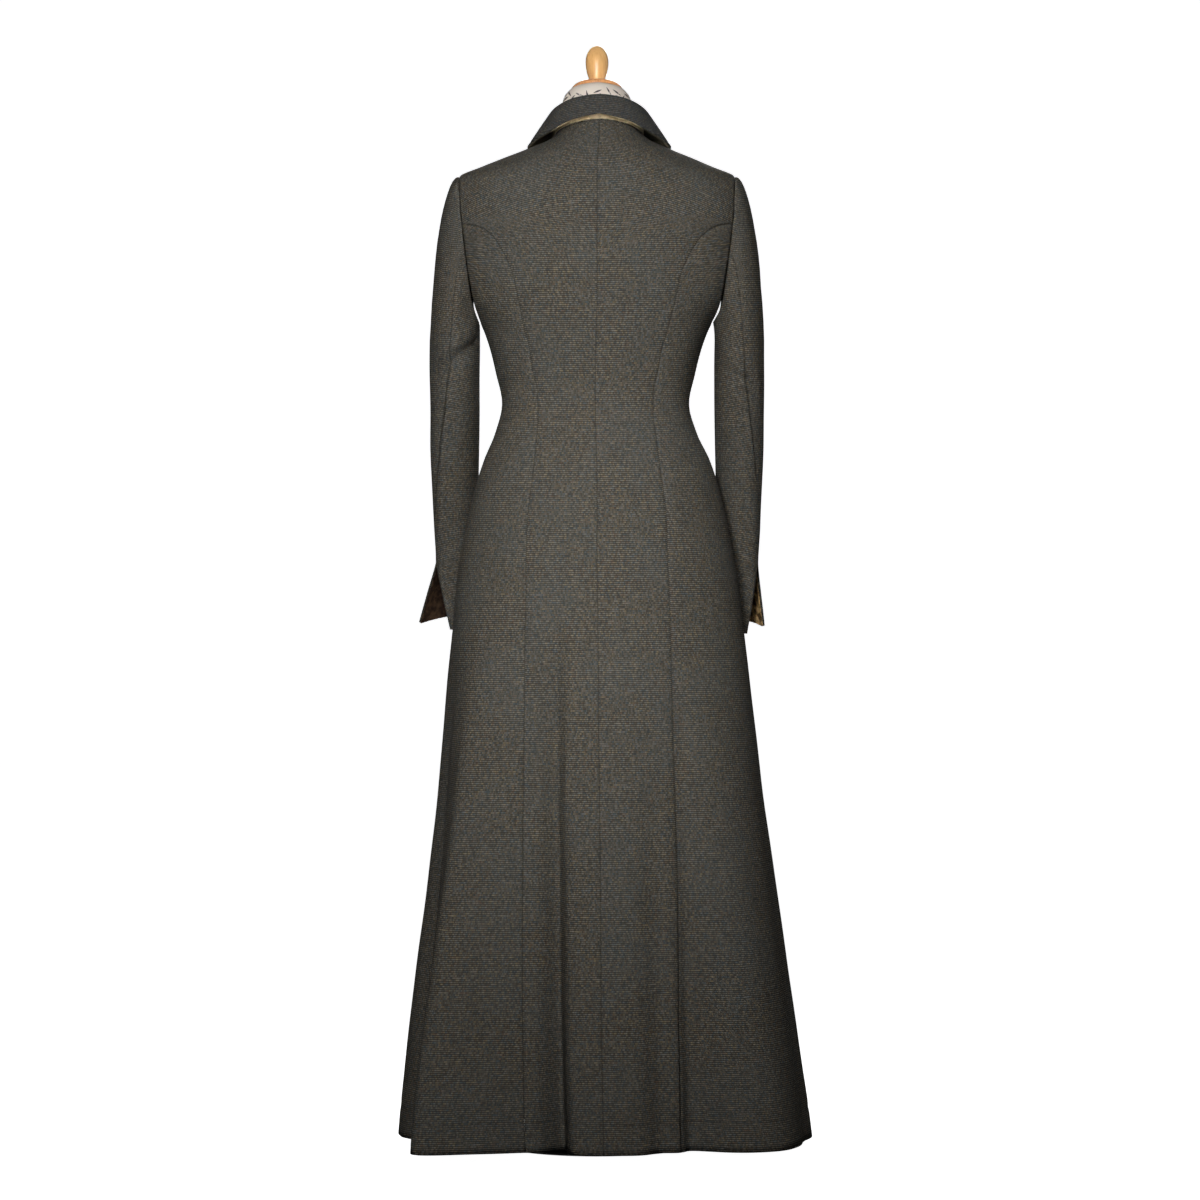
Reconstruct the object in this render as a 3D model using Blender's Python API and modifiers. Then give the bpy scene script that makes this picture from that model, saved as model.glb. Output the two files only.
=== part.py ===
"""A full-length tweed coat on a limbless dress form, as separate sewn pieces.

Metres, +Z up. The back of the coat faces +Y, the wearer's left is +X and the form's base stands on z = 0.
Angles round the body run in degrees from the centre back, and on through the wearer's left.
"""

import math

import bmesh
import bpy
import numpy as np

COLLECTION = "tweed_coat"

# Cloth
TWEED_WALL = 0.0025
COLLAR_WALL = 0.0015
VELVET_WALL = 0.0012
SEAM_GAP = 0.0003

# Heights of the cut
HEM = 0.012
PRINCESS_TOP = 1.2379
UNDERARM = 1.109
SHOULDER_TIP = 1.306
NECK_TOP = 1.400
FRONT_NECK = 1.300
FRONT_JOIN = 1.205

# Plan of the neck seam
NECK_HALF_WIDTH = 0.060
NECK_BACK = 0.059
NECK_FRONT = 0.082

# The coat's sections
SECTIONS = (
    ("height", "centre", "half_width", "back", "front", "square"),
    (0.012, -0.0090, 0.2820, 0.2220, 0.2140, 2.60),
    (0.060, -0.0080, 0.2770, 0.2190, 0.2090, 2.60),
    (0.195, -0.0055, 0.2592, 0.2060, 0.1960, 2.50),
    (0.330, -0.0050, 0.2403, 0.1930, 0.1830, 2.40),
    (0.465, -0.0035, 0.2221, 0.1790, 0.1690, 2.35),
    (0.600, -0.0020, 0.2072, 0.1640, 0.1540, 2.25),
    (0.735, -0.0010, 0.1925, 0.1490, 0.1400, 2.15),
    (0.803, 0.0000, 0.1825, 0.1390, 0.1320, 2.10),
    (0.870, 0.0000, 0.1685, 0.1270, 0.1240, 2.05),
    (0.924, 0.0005, 0.1526, 0.1140, 0.1180, 2.05),
    (0.960, 0.0015, 0.1365, 0.1020, 0.1120, 2.05),
    (1.000, 0.0020, 0.1262, 0.0900, 0.1080, 2.10),
    (1.040, 0.0020, 0.1345, 0.0940, 0.1130, 2.10),
    (1.080, 0.0015, 0.1450, 0.1030, 0.1240, 2.15),
    (1.109, 0.0010, 0.1565, 0.1090, 0.1340, 2.20),
    (1.130, 0.0000, 0.1700, 0.1120, 0.1380, 2.25),
    (1.159, 0.0000, 0.1840, 0.1160, 0.1400, 2.30),
    (1.195, 0.0000, 0.1940, 0.1200, 0.1350, 2.35),
    (1.236, 0.0000, 0.1995, 0.1210, 0.1230, 2.35),
    (1.270, 0.0000, 0.2000, 0.1180, 0.1040, 2.30),
    (1.294, 0.0000, 0.1955, 0.1110, 0.0880, 2.20),
    (1.306, 0.0000, 0.1863, 0.1060, 0.0800, 2.10),
    (1.318, 0.0000, 0.1580, 0.1005, 0.0730, 2.05),
    (1.330, -0.0010, 0.1290, 0.0945, 0.0660, 2.00),
    (1.343, -0.0020, 0.0960, 0.0865, 0.0585, 2.00),
    (1.360, -0.0030, 0.0620, 0.0715, 0.0500, 2.00),
    (1.378, -0.0030, 0.0560, 0.0590, 0.0450, 2.00),
    (1.400, -0.0030, 0.0540, 0.0560, 0.0440, 2.00),
)

# Skirt folds: they start at a height and grow to their depth at the hem, a trough below zero
FOLDS = (
    ("start", "angle_at_start", "angle_at_hem", "spread", "depth"),
    (0.830, 22.0, 18.0, 5.0, -0.060),
    (0.800, 32.0, 28.0, 7.0, -0.026),
    (0.730, 56.0, 49.0, 7.5, 0.054),
    (0.740, 79.0, 74.0, 8.5, -0.040),
    (0.640, 92.0, 88.0, 9.0, -0.006),
    (0.720, -24.0, -22.0, 7.0, -0.026),
    (0.720, -37.0, -34.5, 6.4, -0.045),
    (0.600, -52.0, -54.0, 8.0, 0.010),
    (0.600, -78.0, -76.0, 8.0, -0.010),
    (0.700, 112.0, 114.0, 8.0, -0.034),
    (0.650, 140.0, 141.0, 8.0, -0.022),
    (0.700, -110.0, -112.0, 8.0, -0.036),
    (0.650, -140.0, -139.0, 8.0, -0.024),
)
FOLD_GROWTH = 1.15

# Half widths of the centre panels, from the middle line to the princess seams
BACK_SEAM = (
    ("height", "out"),
    (0.012, 0.1030),
    (0.227, 0.1030),
    (0.379, 0.1020),
    (0.514, 0.0995),
    (0.631, 0.0975),
    (0.719, 0.0955),
    (0.836, 0.0930),
    (0.910, 0.0845),
    (0.998, 0.0775),
    (1.046, 0.0850),
    (1.100, 0.0970),
    (1.163, 0.1120),
    (1.191, 0.1225),
    (1.212, 0.1345),
    (1.226, 0.1480),
    (1.234, 0.1640),
)
FRONT_SEAM = (
    ("height", "out"),
    (0.012, 0.1150),
    (0.227, 0.1130),
    (0.514, 0.1030),
    (0.719, 0.0960),
    (0.910, 0.0830),
    (0.998, 0.0760),
    (1.080, 0.0850),
    (1.150, 0.0950),
    (1.190, 0.1060),
    (1.213, 0.1250),
    (1.228, 0.1500),
)

# Distance of the armhole seam from the middle line
ARMHOLE = (
    ("height", "out"),
    (1.109, 0.1565),
    (1.130, 0.1655),
    (1.159, 0.1712),
    (1.195, 0.1765),
    (1.236, 0.1812),
    (1.270, 0.1845),
    (1.306, 0.1863),
)
ARMHOLE_STEP = 12.0
PRINCESS_ANGLE = 72.0
HINDARM_ANGLE = 96.0
FOREARM_ANGLE = 228.0

# Front closing, wearer's right over left
OVERLAP = 0.022
OVERLAP_GAP = 0.0018
UNDERLAP_START = 0.048
BUTTON_HEIGHTS = (1.235, 1.118, 1.000, 0.882)
BUTTON_RADIUS = 0.0125
BUTTON_THICKNESS = 0.0055
BUTTON_GAP = 0.0006

# Rows and columns of the panels
ROW_LEVELS = (
    0.012, 0.110, 0.210, 0.310, 0.410, 0.505, 0.595, 0.675, 0.745, 0.805, 0.857,
    0.900, 0.938, 0.970, 0.998, 1.030,
)
UPPER_ROWS = 6
SKIRT_ROWS = len(ROW_LEVELS) - 1 + UPPER_ROWS
YOKE_ROWS = 6
NECK_STEP = 15.0
SHOULDER_COLUMNS = 3
BLEND_ROWS = 4
NORMAL_STEP = 1.5

# Sleeve below its cap, for the wearer's left
SLEEVE = (
    ("height", "out", "back", "half_width", "half_depth", "yaw", "hindarm"),
    (0.700, 0.1950, -0.1060, 0.0265, 0.0475, 24.0, 14.0),
    (0.745, 0.1925, -0.0935, 0.0265, 0.0475, 22.0, 20.0),
    (0.788, 0.1905, -0.0800, 0.0268, 0.0480, 19.0, 28.0),
    (0.835, 0.1920, -0.0635, 0.0280, 0.0490, 16.0, 44.0),
    (0.890, 0.1925, -0.0430, 0.0300, 0.0505, 13.0, 58.0),
    (0.950, 0.1925, -0.0230, 0.0325, 0.0525, 8.0, 68.0),
    (1.015, 0.1920, -0.0060, 0.0335, 0.0555, 2.0, 76.0),
    (1.085, 0.1920, -0.0010, 0.0335, 0.0595, 0.0, 84.0),
)
CAP_ROWS = 5
CAP_REACH = 0.78
CAP_DROP = 0.07

# Cuff vents at the outer seam
VENT_TOP = 0.788
VENT_FRONT_END = -90.0
FACING_COLUMNS = 13
FACING_ROWS = 3
CUFFS = (
    ("side", "flare_out", "flare_forward", "opening", "raise"),
    (1, 0.0220, 0.0120, 106.0, 0.0050),
    (-1, 0.0075, 0.0060, 97.0, 0.0000),
)
OPENING_CURVE = 0.65
CUFF_SLOPE = 0.25

# Collar: stand, reach of the fall from the neck seam and its height over the shoulders
COLLAR = (
    ("angle", "gap", "stand", "reach", "rise"),
    (0.0, 0.0002, 0.0330, 0.0160, 0.0285),
    (30.0, 0.0002, 0.0330, 0.0180, 0.0240),
    (60.0, 0.0003, 0.0315, 0.0260, 0.0130),
    (90.0, 0.0004, 0.0300, 0.0360, 0.0060),
    (115.0, 0.0007, 0.0245, 0.0415, 0.0110),
    (140.0, 0.0009, 0.0185, 0.0455, 0.0175),
    (165.0, 0.0009, 0.0135, 0.0500, 0.0220),
)
COLLAR_END = 165.0
COLLAR_COLUMNS = 22
COLLAR_ROWS = 8
COLLAR_SEAT = 0.0029
COLLAR_LEAN = 0.0045
COLLAR_ROLL = 0.0072
COLLAR_FALL_BEND = 0.48

# Dress form
FORM_SEGMENTS = 30
FORM_EASE = (
    ("height", "ease", "plate"),
    (0.790, 0.0450, 0.1400),
    (0.870, 0.0200, 0.1480),
    (0.930, 0.0090, 0.1450),
    (1.000, 0.0060, 0.1300),
    (1.060, 0.0060, 0.1380),
    (1.109, 0.0080, 0.1440),
    (1.160, 0.0080, 0.1500),
    (1.230, 0.0075, 0.1600),
    (1.290, 0.0078, 0.1640),
    (1.318, 0.0078, 0.1640),
    (1.343, 0.0078, 0.1640),
    (1.360, 0.0078, 0.1640),
)
FORM_HEIGHTS = (
    0.790, 0.800, 0.835, 0.875, 0.915, 0.955, 0.995, 1.035, 1.075, 1.115, 1.155,
    1.195, 1.235, 1.270, 1.294, 1.306, 1.318, 1.330, 1.343, 1.360,
)
FORM_BOTTOM_EDGE = 0.010
FORM_FRONT_EASE = 0.0018
FORM_NECK = (
    ("height", "radius", "lean"),
    (1.378, 0.0490, 0.0),
    (1.402, 0.0472, 0.4),
    (1.413, 0.0440, 0.8),
    (1.4205, 0.0370, 1.0),
    (1.4255, 0.0240, 1.0),
)
NECK_DOME = 0.0022
NECK_TILT = 14.0
CAP_RADIUS = 0.0345
CAP_RIM = 1.4232
CAP_RISE = 0.0108
CAP_THICKNESS = 0.0048
CAP_EDGE = 0.0012
CAP_BEVEL = 0.0008
FINIAL_RADIUS = 0.0155
FINIAL_FOOT = 0.0088
FINIAL_HEIGHT = 0.0520
FINIAL_WIDEST = 0.56
FINIAL_EGG_ROWS = 7
FINIAL_FOOT_ROWS = 5
POLE_RADIUS = 0.0125
BASE_RADIUS = 0.130
BASE_THICKNESS = 0.0085
HUB_RADIUS = 0.019
HUB_HEIGHT = 0.060
TURNED_STEPS = 20
BUTTON_STEPS = 14


class Table:
    """Rows of sizes against their first column, read smoothly between the rows."""

    def __init__(self, rows):
        self.names = rows[0]
        values = np.array(rows[1:], dtype=float)
        self.keys = values[:, 0]
        self.columns = {name: values[:, k] for k, name in enumerate(self.names)}
        self.slopes = {name: self.column_slopes(self.columns[name]) for name in self.names[1:]}

    def column_slopes(self, values):
        steps = np.diff(self.keys)
        rises = np.diff(values) / steps
        slopes = np.zeros(len(values))
        slopes[0] = rises[0]
        slopes[-1] = rises[-1]
        for k in range(1, len(values) - 1):
            if rises[k - 1] * rises[k] > 0:
                first = 2 * steps[k] + steps[k - 1]
                second = steps[k] + 2 * steps[k - 1]
                slopes[k] = (first + second) / (first / rises[k - 1] + second / rises[k])
        return slopes

    def at(self, name, key):
        key = min(max(key, self.keys[0]), self.keys[-1])
        k = min(max(int(np.searchsorted(self.keys, key)) - 1, 0), len(self.keys) - 2)
        step = self.keys[k + 1] - self.keys[k]
        t = (key - self.keys[k]) / step
        low, high = self.columns[name][k], self.columns[name][k + 1]
        rise = self.slopes[name][k] * step
        fall = self.slopes[name][k + 1] * step
        start = (1 + 2 * t) * (1 - t) ** 2 * low + t * (1 - t) ** 2 * rise
        return start + t * t * (3 - 2 * t) * high + t * t * (t - 1) * fall


sections = Table(SECTIONS)
back_seam = Table(BACK_SEAM + ((PRINCESS_TOP, 0.1814),))
front_seam = Table(FRONT_SEAM + ((PRINCESS_TOP, 0.1814),))
armhole = Table(ARMHOLE)
sleeve_table = Table(SLEEVE)
collar_table = Table(COLLAR)
form_ease = Table(FORM_EASE)
form_neck = Table(FORM_NECK)
folds = [dict(zip(FOLDS[0], row)) for row in FOLDS[1:]]
cuffs = {int(row[0]): dict(zip(CUFFS[0], row)) for row in CUFFS[1:]}


def mix(low, high, t):
    return low + (high - low) * t


def smooth_step(t):
    t = min(max(t, 0.0), 1.0)
    return t * t * (3 - 2 * t)


def find_root(function, low, high):
    """Bisects to where a rising function crosses zero."""
    for _ in range(40):
        middle = (low + high) / 2
        if function(middle) > 0:
            high = middle
        else:
            low = middle
    return (low + high) / 2


# The coat's body as one surface

def base_radius(angle, height):
    """Distance of the plain section from its centre, with no folds."""
    turn = math.radians(angle)
    depth = sections.at("back" if math.cos(turn) > 0 else "front", height)
    square = sections.at("square", height)
    across = abs(math.sin(turn)) / sections.at("half_width", height)
    along = abs(math.cos(turn)) / depth
    return (across ** square + along ** square) ** (-1 / square)


def fold_height(angle, height):
    """How far the folds move the skirt out at a place."""
    total = 0.0
    for fold in folds:
        if height >= fold["start"]:
            continue
        t = (fold["start"] - height) / (fold["start"] - HEM)
        middle = mix(fold["angle_at_start"], fold["angle_at_hem"], t)
        away = (angle - middle + 180.0) % 360.0 - 180.0
        total += fold["depth"] * t ** FOLD_GROWTH * math.exp(-(away / fold["spread"]) ** 2)
    return total


def skin(angle, height, inward=0.0):
    """A point of the coat's outer face, or one moved in towards its middle."""
    radius = base_radius(angle, height) + fold_height(angle, height) - inward
    turn = math.radians(angle)
    centre = sections.at("centre", height)
    return np.array([centre + radius * math.sin(turn), radius * math.cos(turn), height])


def angle_at(out, height, side, back=True):
    """The angle where the section lies at a distance out from its centre line, to one side."""
    def reach(angle):
        turn = angle if back else 180.0 - angle
        radius = base_radius(turn, height) + fold_height(side * turn, height)
        return radius * math.sin(math.radians(turn)) - out
    found = find_root(reach, 0.0, 90.0)
    return side * (found if back else 180.0 - found)


def height_on(angle, radius):
    """The height at which the shoulders reach a plan radius."""
    return find_root(lambda height: radius - base_radius(angle, height), 1.20, NECK_TOP)


def neck_radius(angle):
    turn = math.radians(angle)
    depth = NECK_BACK if math.cos(turn) > 0 else NECK_FRONT
    return 1 / math.hypot(math.sin(turn) / NECK_HALF_WIDTH, math.cos(turn) / depth)


def neck_seam(angle):
    """The angle and height of the neck seam."""
    return (angle, height_on(angle, neck_radius(angle)))


def shoulder_seam(side, t):
    """The shoulder seam from the neck point to the tip."""
    tip = sections.at("half_width", SHOULDER_TIP)
    return (side * 90.0, height_on(90.0, mix(NECK_HALF_WIDTH, tip, t)))


def armhole_seam(side, turn):
    """The armhole from the shoulder tip at 0, round the back to the underarm at 180 and up the front."""
    middle = (SHOULDER_TIP + UNDERARM) / 2
    height = middle + (SHOULDER_TIP - UNDERARM) / 2 * math.cos(math.radians(turn))
    out = armhole.at("out", height)
    back = math.sin(math.radians(turn)) > 0
    widest = sections.at("half_width", height)
    if out >= widest:
        return (side * 90.0, height)
    return (angle_at(out, height, side, back), height)


def seam_points(table, side, back):
    """Rows of a princess seam, from the hem to the armhole, the upper ones spaced along its length."""
    heights = np.linspace(ROW_LEVELS[-1], PRINCESS_TOP, 200)
    outs = np.array([table.at("out", height) for height in heights])
    lengths = np.concatenate([[0], np.cumsum(np.hypot(np.diff(heights), np.diff(outs)))])
    levels = list(ROW_LEVELS)
    for row in range(1, UPPER_ROWS):
        levels.append(float(np.interp(lengths[-1] * row / UPPER_ROWS, lengths, heights)))
    points = [(angle_at(table.at("out", height), height, side, back), height) for height in levels]
    points.append(armhole_seam(side, PRINCESS_ANGLE if back else 360.0 - PRINCESS_ANGLE))
    return points


def row_heights(top):
    """Row levels up to the waist, then even rows to a height."""
    return list(ROW_LEVELS) + [mix(ROW_LEVELS[-1], top, row / UPPER_ROWS) for row in range(1, UPPER_ROWS + 1)]


def side_points(side):
    return [(side * 90.0, height) for height in row_heights(UNDERARM)]


def middle_points(angle_of, join, top):
    """Rows of a centre line: to the level of the princess seam's top, then to the neck."""
    heights = row_heights(join)
    heights += [mix(join, top, row / YOKE_ROWS) for row in range(1, YOKE_ROWS + 1)]
    return [(angle_of(height), height) for height in heights]


def armhole_points(side, first, last):
    count = int(round(abs(last - first) / ARMHOLE_STEP))
    return [armhole_seam(side, mix(first, last, k / count)) for k in range(count + 1)]


def patch(left, right, top):
    """Fills a panel between two columns of places, and bends its last rows to its top edge."""
    rows, columns = len(left) - 1, len(top) - 1
    left, right, top = np.array(left), np.array(right), np.array(top)
    blend_start = rows - YOKE_ROWS - BLEND_ROWS if rows > SKIRT_ROWS else rows - YOKE_ROWS
    places = []
    for row in range(rows + 1):
        weight = max(0.0, (row - blend_start) / (rows - blend_start)) ** 1.4
        line = []
        for column in range(columns + 1):
            t = column / columns
            straight = mix(left[row], right[row], t)
            bend = top[column] - mix(top[0], top[-1], t)
            line.append(straight + weight * bend)
        places.append(line)
    return places


# Turning places into walls

def surface_normal(surface, first, second, sign):
    step = NORMAL_STEP
    reach = 0.0005
    along = surface(first + step, second) - surface(first - step, second)
    up = surface(first, second + reach) - surface(first, second - reach)
    normal = np.cross(up, along) * sign
    return normal / np.linalg.norm(normal)


def retreat(points):
    """Pulls a grid's border in by half a seam gap, square to each edge."""
    moved = points.copy()
    rows, columns = points.shape[0] - 1, points.shape[1] - 1
    for row in range(rows + 1):
        for column in range(columns + 1):
            shift = np.zeros(3)
            if column in (0, columns):
                inner = points[row, 1 if column == 0 else columns - 1] - points[row, column]
                edge = points[min(row + 1, rows), column] - points[max(row - 1, 0), column]
                shift += square_step(inner, edge)
            if row in (0, rows):
                inner = points[1 if row == 0 else rows - 1, column] - points[row, column]
                edge = points[row, min(column + 1, columns)] - points[row, max(column - 1, 0)]
                shift += square_step(inner, edge)
            moved[row, column] += shift
    return moved


def square_step(inner, edge):
    edge = edge / np.linalg.norm(edge)
    square = inner - edge * np.dot(inner, edge)
    return square / np.linalg.norm(square) * SEAM_GAP / 2


def build_wall(name, material, outside, inside):
    """A closed wall from two grids of points: a flat grid is thickened and laid on them."""
    rows, columns = outside.shape[0] - 1, outside.shape[1] - 1
    mesh_builder = bmesh.new()
    bmesh.ops.create_grid(mesh_builder, x_segments=columns, y_segments=rows, size=0.5)
    flat = [(v, v.co.x + 0.5, v.co.y + 0.5) for v in mesh_builder.verts]
    made = bmesh.ops.extrude_face_region(mesh_builder, geom=mesh_builder.faces[:])
    inner = [v for v in made["geom"] if isinstance(v, bmesh.types.BMVert)]
    flat_inner = [(v, v.co.x + 0.5, v.co.y + 0.5) for v in inner]
    for vertices, grid in ((flat, outside), (flat_inner, inside)):
        for vertex, across, up in vertices:
            vertex.co = grid[int(round(up * rows)), int(round(across * columns))]
    bmesh.ops.recalc_face_normals(mesh_builder, faces=mesh_builder.faces[:])
    if mesh_builder.calc_volume(signed=True) < 0:
        bmesh.ops.reverse_faces(mesh_builder, faces=mesh_builder.faces[:])
    return finish_mesh(name, material, mesh_builder)


def sew(name, material, surface, places, wall, sign=1, depth=0.0, lift=None):
    """Makes a panel of a surface: its outer face at a depth under the surface, then its wall."""
    shape = (len(places), len(places[0]), 3)
    points, normals = np.zeros(shape), np.zeros(shape)
    for row, line in enumerate(places):
        for column, (first, second) in enumerate(line):
            points[row, column] = surface(first, second)
            normals[row, column] = surface_normal(surface, first, second, sign)
    points = retreat(points)
    sunk = np.full(shape[:2], depth) if lift is None else depth - lift
    outside = points - normals * sunk[..., None]
    inside = outside - normals * wall
    return build_wall(name, material, outside, inside)


# Blender objects

def make_material(name, colour, roughness, metallic=0.0):
    material = bpy.data.materials.new(name)
    material.use_nodes = True
    shader = material.node_tree.nodes["Principled BSDF"]
    shader.inputs["Base Color"].default_value = (*colour, 1.0)
    shader.inputs["Roughness"].default_value = roughness
    shader.inputs["Metallic"].default_value = metallic
    return material


def add_object(name, data, material):
    made = bpy.data.objects.new(name, data)
    made.data.materials.append(material)
    bpy.data.collections[COLLECTION].objects.link(made)
    made.parent = bpy.data.objects["coat_origin"]
    return made


def finish_mesh(name, material, mesh_builder):
    mesh = bpy.data.meshes.new(name)
    mesh_builder.to_mesh(mesh)
    mesh_builder.free()
    mesh.shade_smooth()
    mesh.set_sharp_from_angle(angle=math.radians(50))
    return add_object(name, mesh, material)


def turned(name, material, profile, steps=TURNED_STEPS):
    """A turned piece from its outer profile, top to bottom, as (radius, height) pairs."""
    mesh = bpy.data.meshes.new(name)
    points = [(radius, 0.0, height) for radius, height in profile]
    mesh.from_pydata(points, [(k, k + 1) for k in range(len(points) - 1)], [])
    made = add_object(name, mesh, material)
    screw = made.modifiers.new("turn", "SCREW")
    screw.steps = steps
    screw.render_steps = steps
    screw.use_merge_vertices = True
    screw.merge_threshold = 0.00001
    return made


def side_name(side):
    return "left" if side > 0 else "right"


# Coat pieces

def neck_columns(side, first):
    """Places along the neck seam from an angle to the neck point, then down the shoulder seam."""
    count = int(round(abs(90.0 - first) / NECK_STEP))
    toward = NECK_STEP if first < 90.0 else -NECK_STEP
    angles = [first] + [90.0 - toward * (count - k) for k in range(1, count)]
    places = [neck_seam(side * angle) for angle in angles]
    return places + [shoulder_seam(side, k / SHOULDER_COLUMNS) for k in range(SHOULDER_COLUMNS + 1)]


def centre_back(side, material):
    columns = neck_columns(side, 0.0)
    middle = middle_points(lambda height: 0.0, PRINCESS_TOP, columns[0][1])
    edge = seam_points(back_seam, side, True) + armhole_points(side, PRINCESS_ANGLE, 0.0)[1:]
    sew(f"centre_back_{side_name(side)}", material, skin, patch(middle, edge, columns), TWEED_WALL)


def side_back(side, material):
    top = armhole_points(side, PRINCESS_ANGLE, 180.0)
    places = patch(seam_points(back_seam, side, True), side_points(side), top)
    sew(f"side_back_{side_name(side)}", material, skin, places, TWEED_WALL)


def side_front(side, material):
    top = armhole_points(side, 360.0 - PRINCESS_ANGLE, 180.0)
    places = patch(seam_points(front_seam, side, False), side_points(side), top)
    sew(f"side_front_{side_name(side)}", material, skin, places, TWEED_WALL)


def front_edge_angle(side, height):
    """The front edge lies past the centre front by the overlap."""
    return side * (180.0 + math.degrees(math.asin(OVERLAP / base_radius(180.0, height))))


def centre_front(side, material):
    columns = neck_columns(side, abs(front_edge_angle(side, FRONT_NECK)))
    middle = middle_points(lambda height: front_edge_angle(side, height), FRONT_JOIN, columns[0][1])
    edge = seam_points(front_seam, side, False)
    edge += armhole_points(side, 360.0 - PRINCESS_ANGLE, 360.0)[1:]
    places = patch(middle, edge, columns)
    lift = None
    if side > 0:
        drop = TWEED_WALL + OVERLAP_GAP
        lift = np.array([[-drop * underlap(*place) for place in line] for line in places])
    sew(f"centre_front_{side_name(side)}", material, skin, places, TWEED_WALL, lift=lift)


def underlap(angle, height):
    """1 where the wearer's left front lies under the right one, fading to 0 beside it."""
    across = skin(angle, height)[0] - sections.at("centre", height)
    return smooth_step((UNDERLAP_START - across) / (UNDERLAP_START - OVERLAP - 0.002))


def arm_ring(side, turn, height, flared=False):
    """A point of the sleeve below its cap: 0 is the outer side, 90 the back."""
    angle = math.radians(turn)
    out = sleeve_table.at("half_width", height) * math.cos(angle)
    back = sleeve_table.at("half_depth", height) * math.sin(angle)
    yaw = math.radians(sleeve_table.at("yaw", height))
    x = sleeve_table.at("out", height) + out * math.cos(yaw) + back * math.sin(yaw)
    forward = out * math.sin(yaw) - back * math.cos(yaw)
    y = sleeve_table.at("back", height) - forward
    z = height + (cuffs[side]["raise"] + CUFF_SLOPE * forward) * vent_travel(height)
    if flared:
        flare_out, flare_forward = cuff_flare(side, turn, height)
        x += flare_out
        y -= flare_forward
    return np.array([side * x, y, z])


def vent_travel(height):
    """0 down to the vent's top, then 1 at the cuff's edge."""
    return max(0.0, (VENT_TOP - height) / (VENT_TOP - sleeve_table.keys[0]))


def cuff_flare(side, turn, height):
    """The vent's front flap turns out below its top."""
    cuff = cuffs[side]
    down = vent_travel(height)
    turn = (turn + 180.0) % 360.0 - 180.0
    edge = sleeve_table.at("hindarm", height)
    if down <= 0 or turn < VENT_FRONT_END:
        return (0.0, 0.0)
    along = ((turn - VENT_FRONT_END) / (edge - VENT_FRONT_END)) ** 2
    return (cuff["flare_out"] * along * down, cuff["flare_forward"] * along * down)


def sleeve_skin(side, flared=False):
    """The sleeve's outer face: travel is 0 at the armhole, 1 at the end of the cap, then falls with height."""
    bicep = sleeve_table.keys[-1]

    def place(turn, travel):
        if travel > 1:
            return arm_ring(side, turn, bicep - (travel - 1), flared)
        start = skin(*armhole_seam(side, turn % 360.0))
        start = start + np.array([side * SEAM_GAP * 1.2, 0.0, 0.0])
        end = arm_ring(side, turn, bicep)
        bend = mix(start, end, CAP_REACH)
        bend[2] = mix(start[2], end[2], CAP_DROP)
        early = mix(start, bend, travel)
        late = mix(bend, end, travel)
        return mix(early, late, travel)

    return place


def sleeve_travels():
    cap = [k / CAP_ROWS for k in range(CAP_ROWS)]
    bicep = sleeve_table.keys[-1]
    return cap + [1 + bicep - height for height in reversed(sleeve_table.keys)]


def hindarm_turn(travel):
    """Where the back seam of the sleeve runs."""
    height = sleeve_table.keys[-1] - max(travel - 1, 0)
    at_arm = sleeve_table.at("hindarm", height)
    return mix(HINDARM_ANGLE, at_arm, min(travel, 1.0)) if travel < 1 else at_arm


def under_edge_turn(side, travel):
    """The under sleeve's back edge leaves the seam below the vent's top."""
    height = sleeve_table.keys[-1] - max(travel - 1, 0)
    return hindarm_turn(travel) + cuffs[side]["opening"] * vent_travel(height) ** OPENING_CURVE


def top_sleeve_places():
    columns = int(round((HINDARM_ANGLE + 360.0 - FOREARM_ANGLE) / ARMHOLE_STEP))
    places = []
    for travel in sleeve_travels():
        first, last = hindarm_turn(travel), FOREARM_ANGLE - 360.0
        places.append([(mix(first, last, k / columns), travel) for k in range(columns + 1)])
    return places


def top_sleeve(side, material):
    name = f"top_sleeve_{side_name(side)}"
    sew(name, material, sleeve_skin(side, True), top_sleeve_places(), TWEED_WALL, sign=side)


def under_sleeve(side, material):
    columns = int(round((FOREARM_ANGLE - HINDARM_ANGLE) / ARMHOLE_STEP))
    places = []
    for travel in sleeve_travels():
        first, last = under_edge_turn(side, travel), FOREARM_ANGLE
        places.append([(mix(first, last, k / columns), travel) for k in range(columns + 1)])
    sew(f"under_sleeve_{side_name(side)}", material, sleeve_skin(side), places, TWEED_WALL, sign=side)


def cuff_facing(side, material):
    """The velvet inside the vent's front flap, on the sleeve's own points."""
    places = [line[:FACING_COLUMNS + 1] for line in top_sleeve_places()[-FACING_ROWS - 1:]]
    name = f"cuff_facing_{side_name(side)}"
    depth = TWEED_WALL + SEAM_GAP
    sew(name, material, sleeve_skin(side, True), places, VELVET_WALL, sign=side, depth=depth)


def collar_skin(angle, travel):
    """The collar's upper face: up the inside of the stand, over the roll and down the fall."""
    stand = collar_table.at("stand", abs(angle))
    reach = collar_table.at("reach", abs(angle))
    neck = skin(*neck_seam(angle))
    radius = neck_radius(angle)
    edge = height_on(angle, radius + reach) + collar_table.at("rise", abs(angle)) - neck[2]
    knots = np.array([
        (-COLLAR_SEAT, collar_table.at("gap", abs(angle))),
        (-COLLAR_LEAN, stand * 0.55),
        (-COLLAR_SEAT * 0.5, stand * 0.96),
        (COLLAR_ROLL * 0.4, stand),
        (COLLAR_ROLL, stand * 0.88),
        (mix(COLLAR_ROLL, reach, 0.5), mix(stand * 0.88, edge, COLLAR_FALL_BEND)),
        (reach, edge),
    ])
    out, up = through(knots, travel)
    turn = math.radians(angle)
    return neck + np.array([math.sin(turn) * out, math.cos(turn) * out, up])


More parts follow.
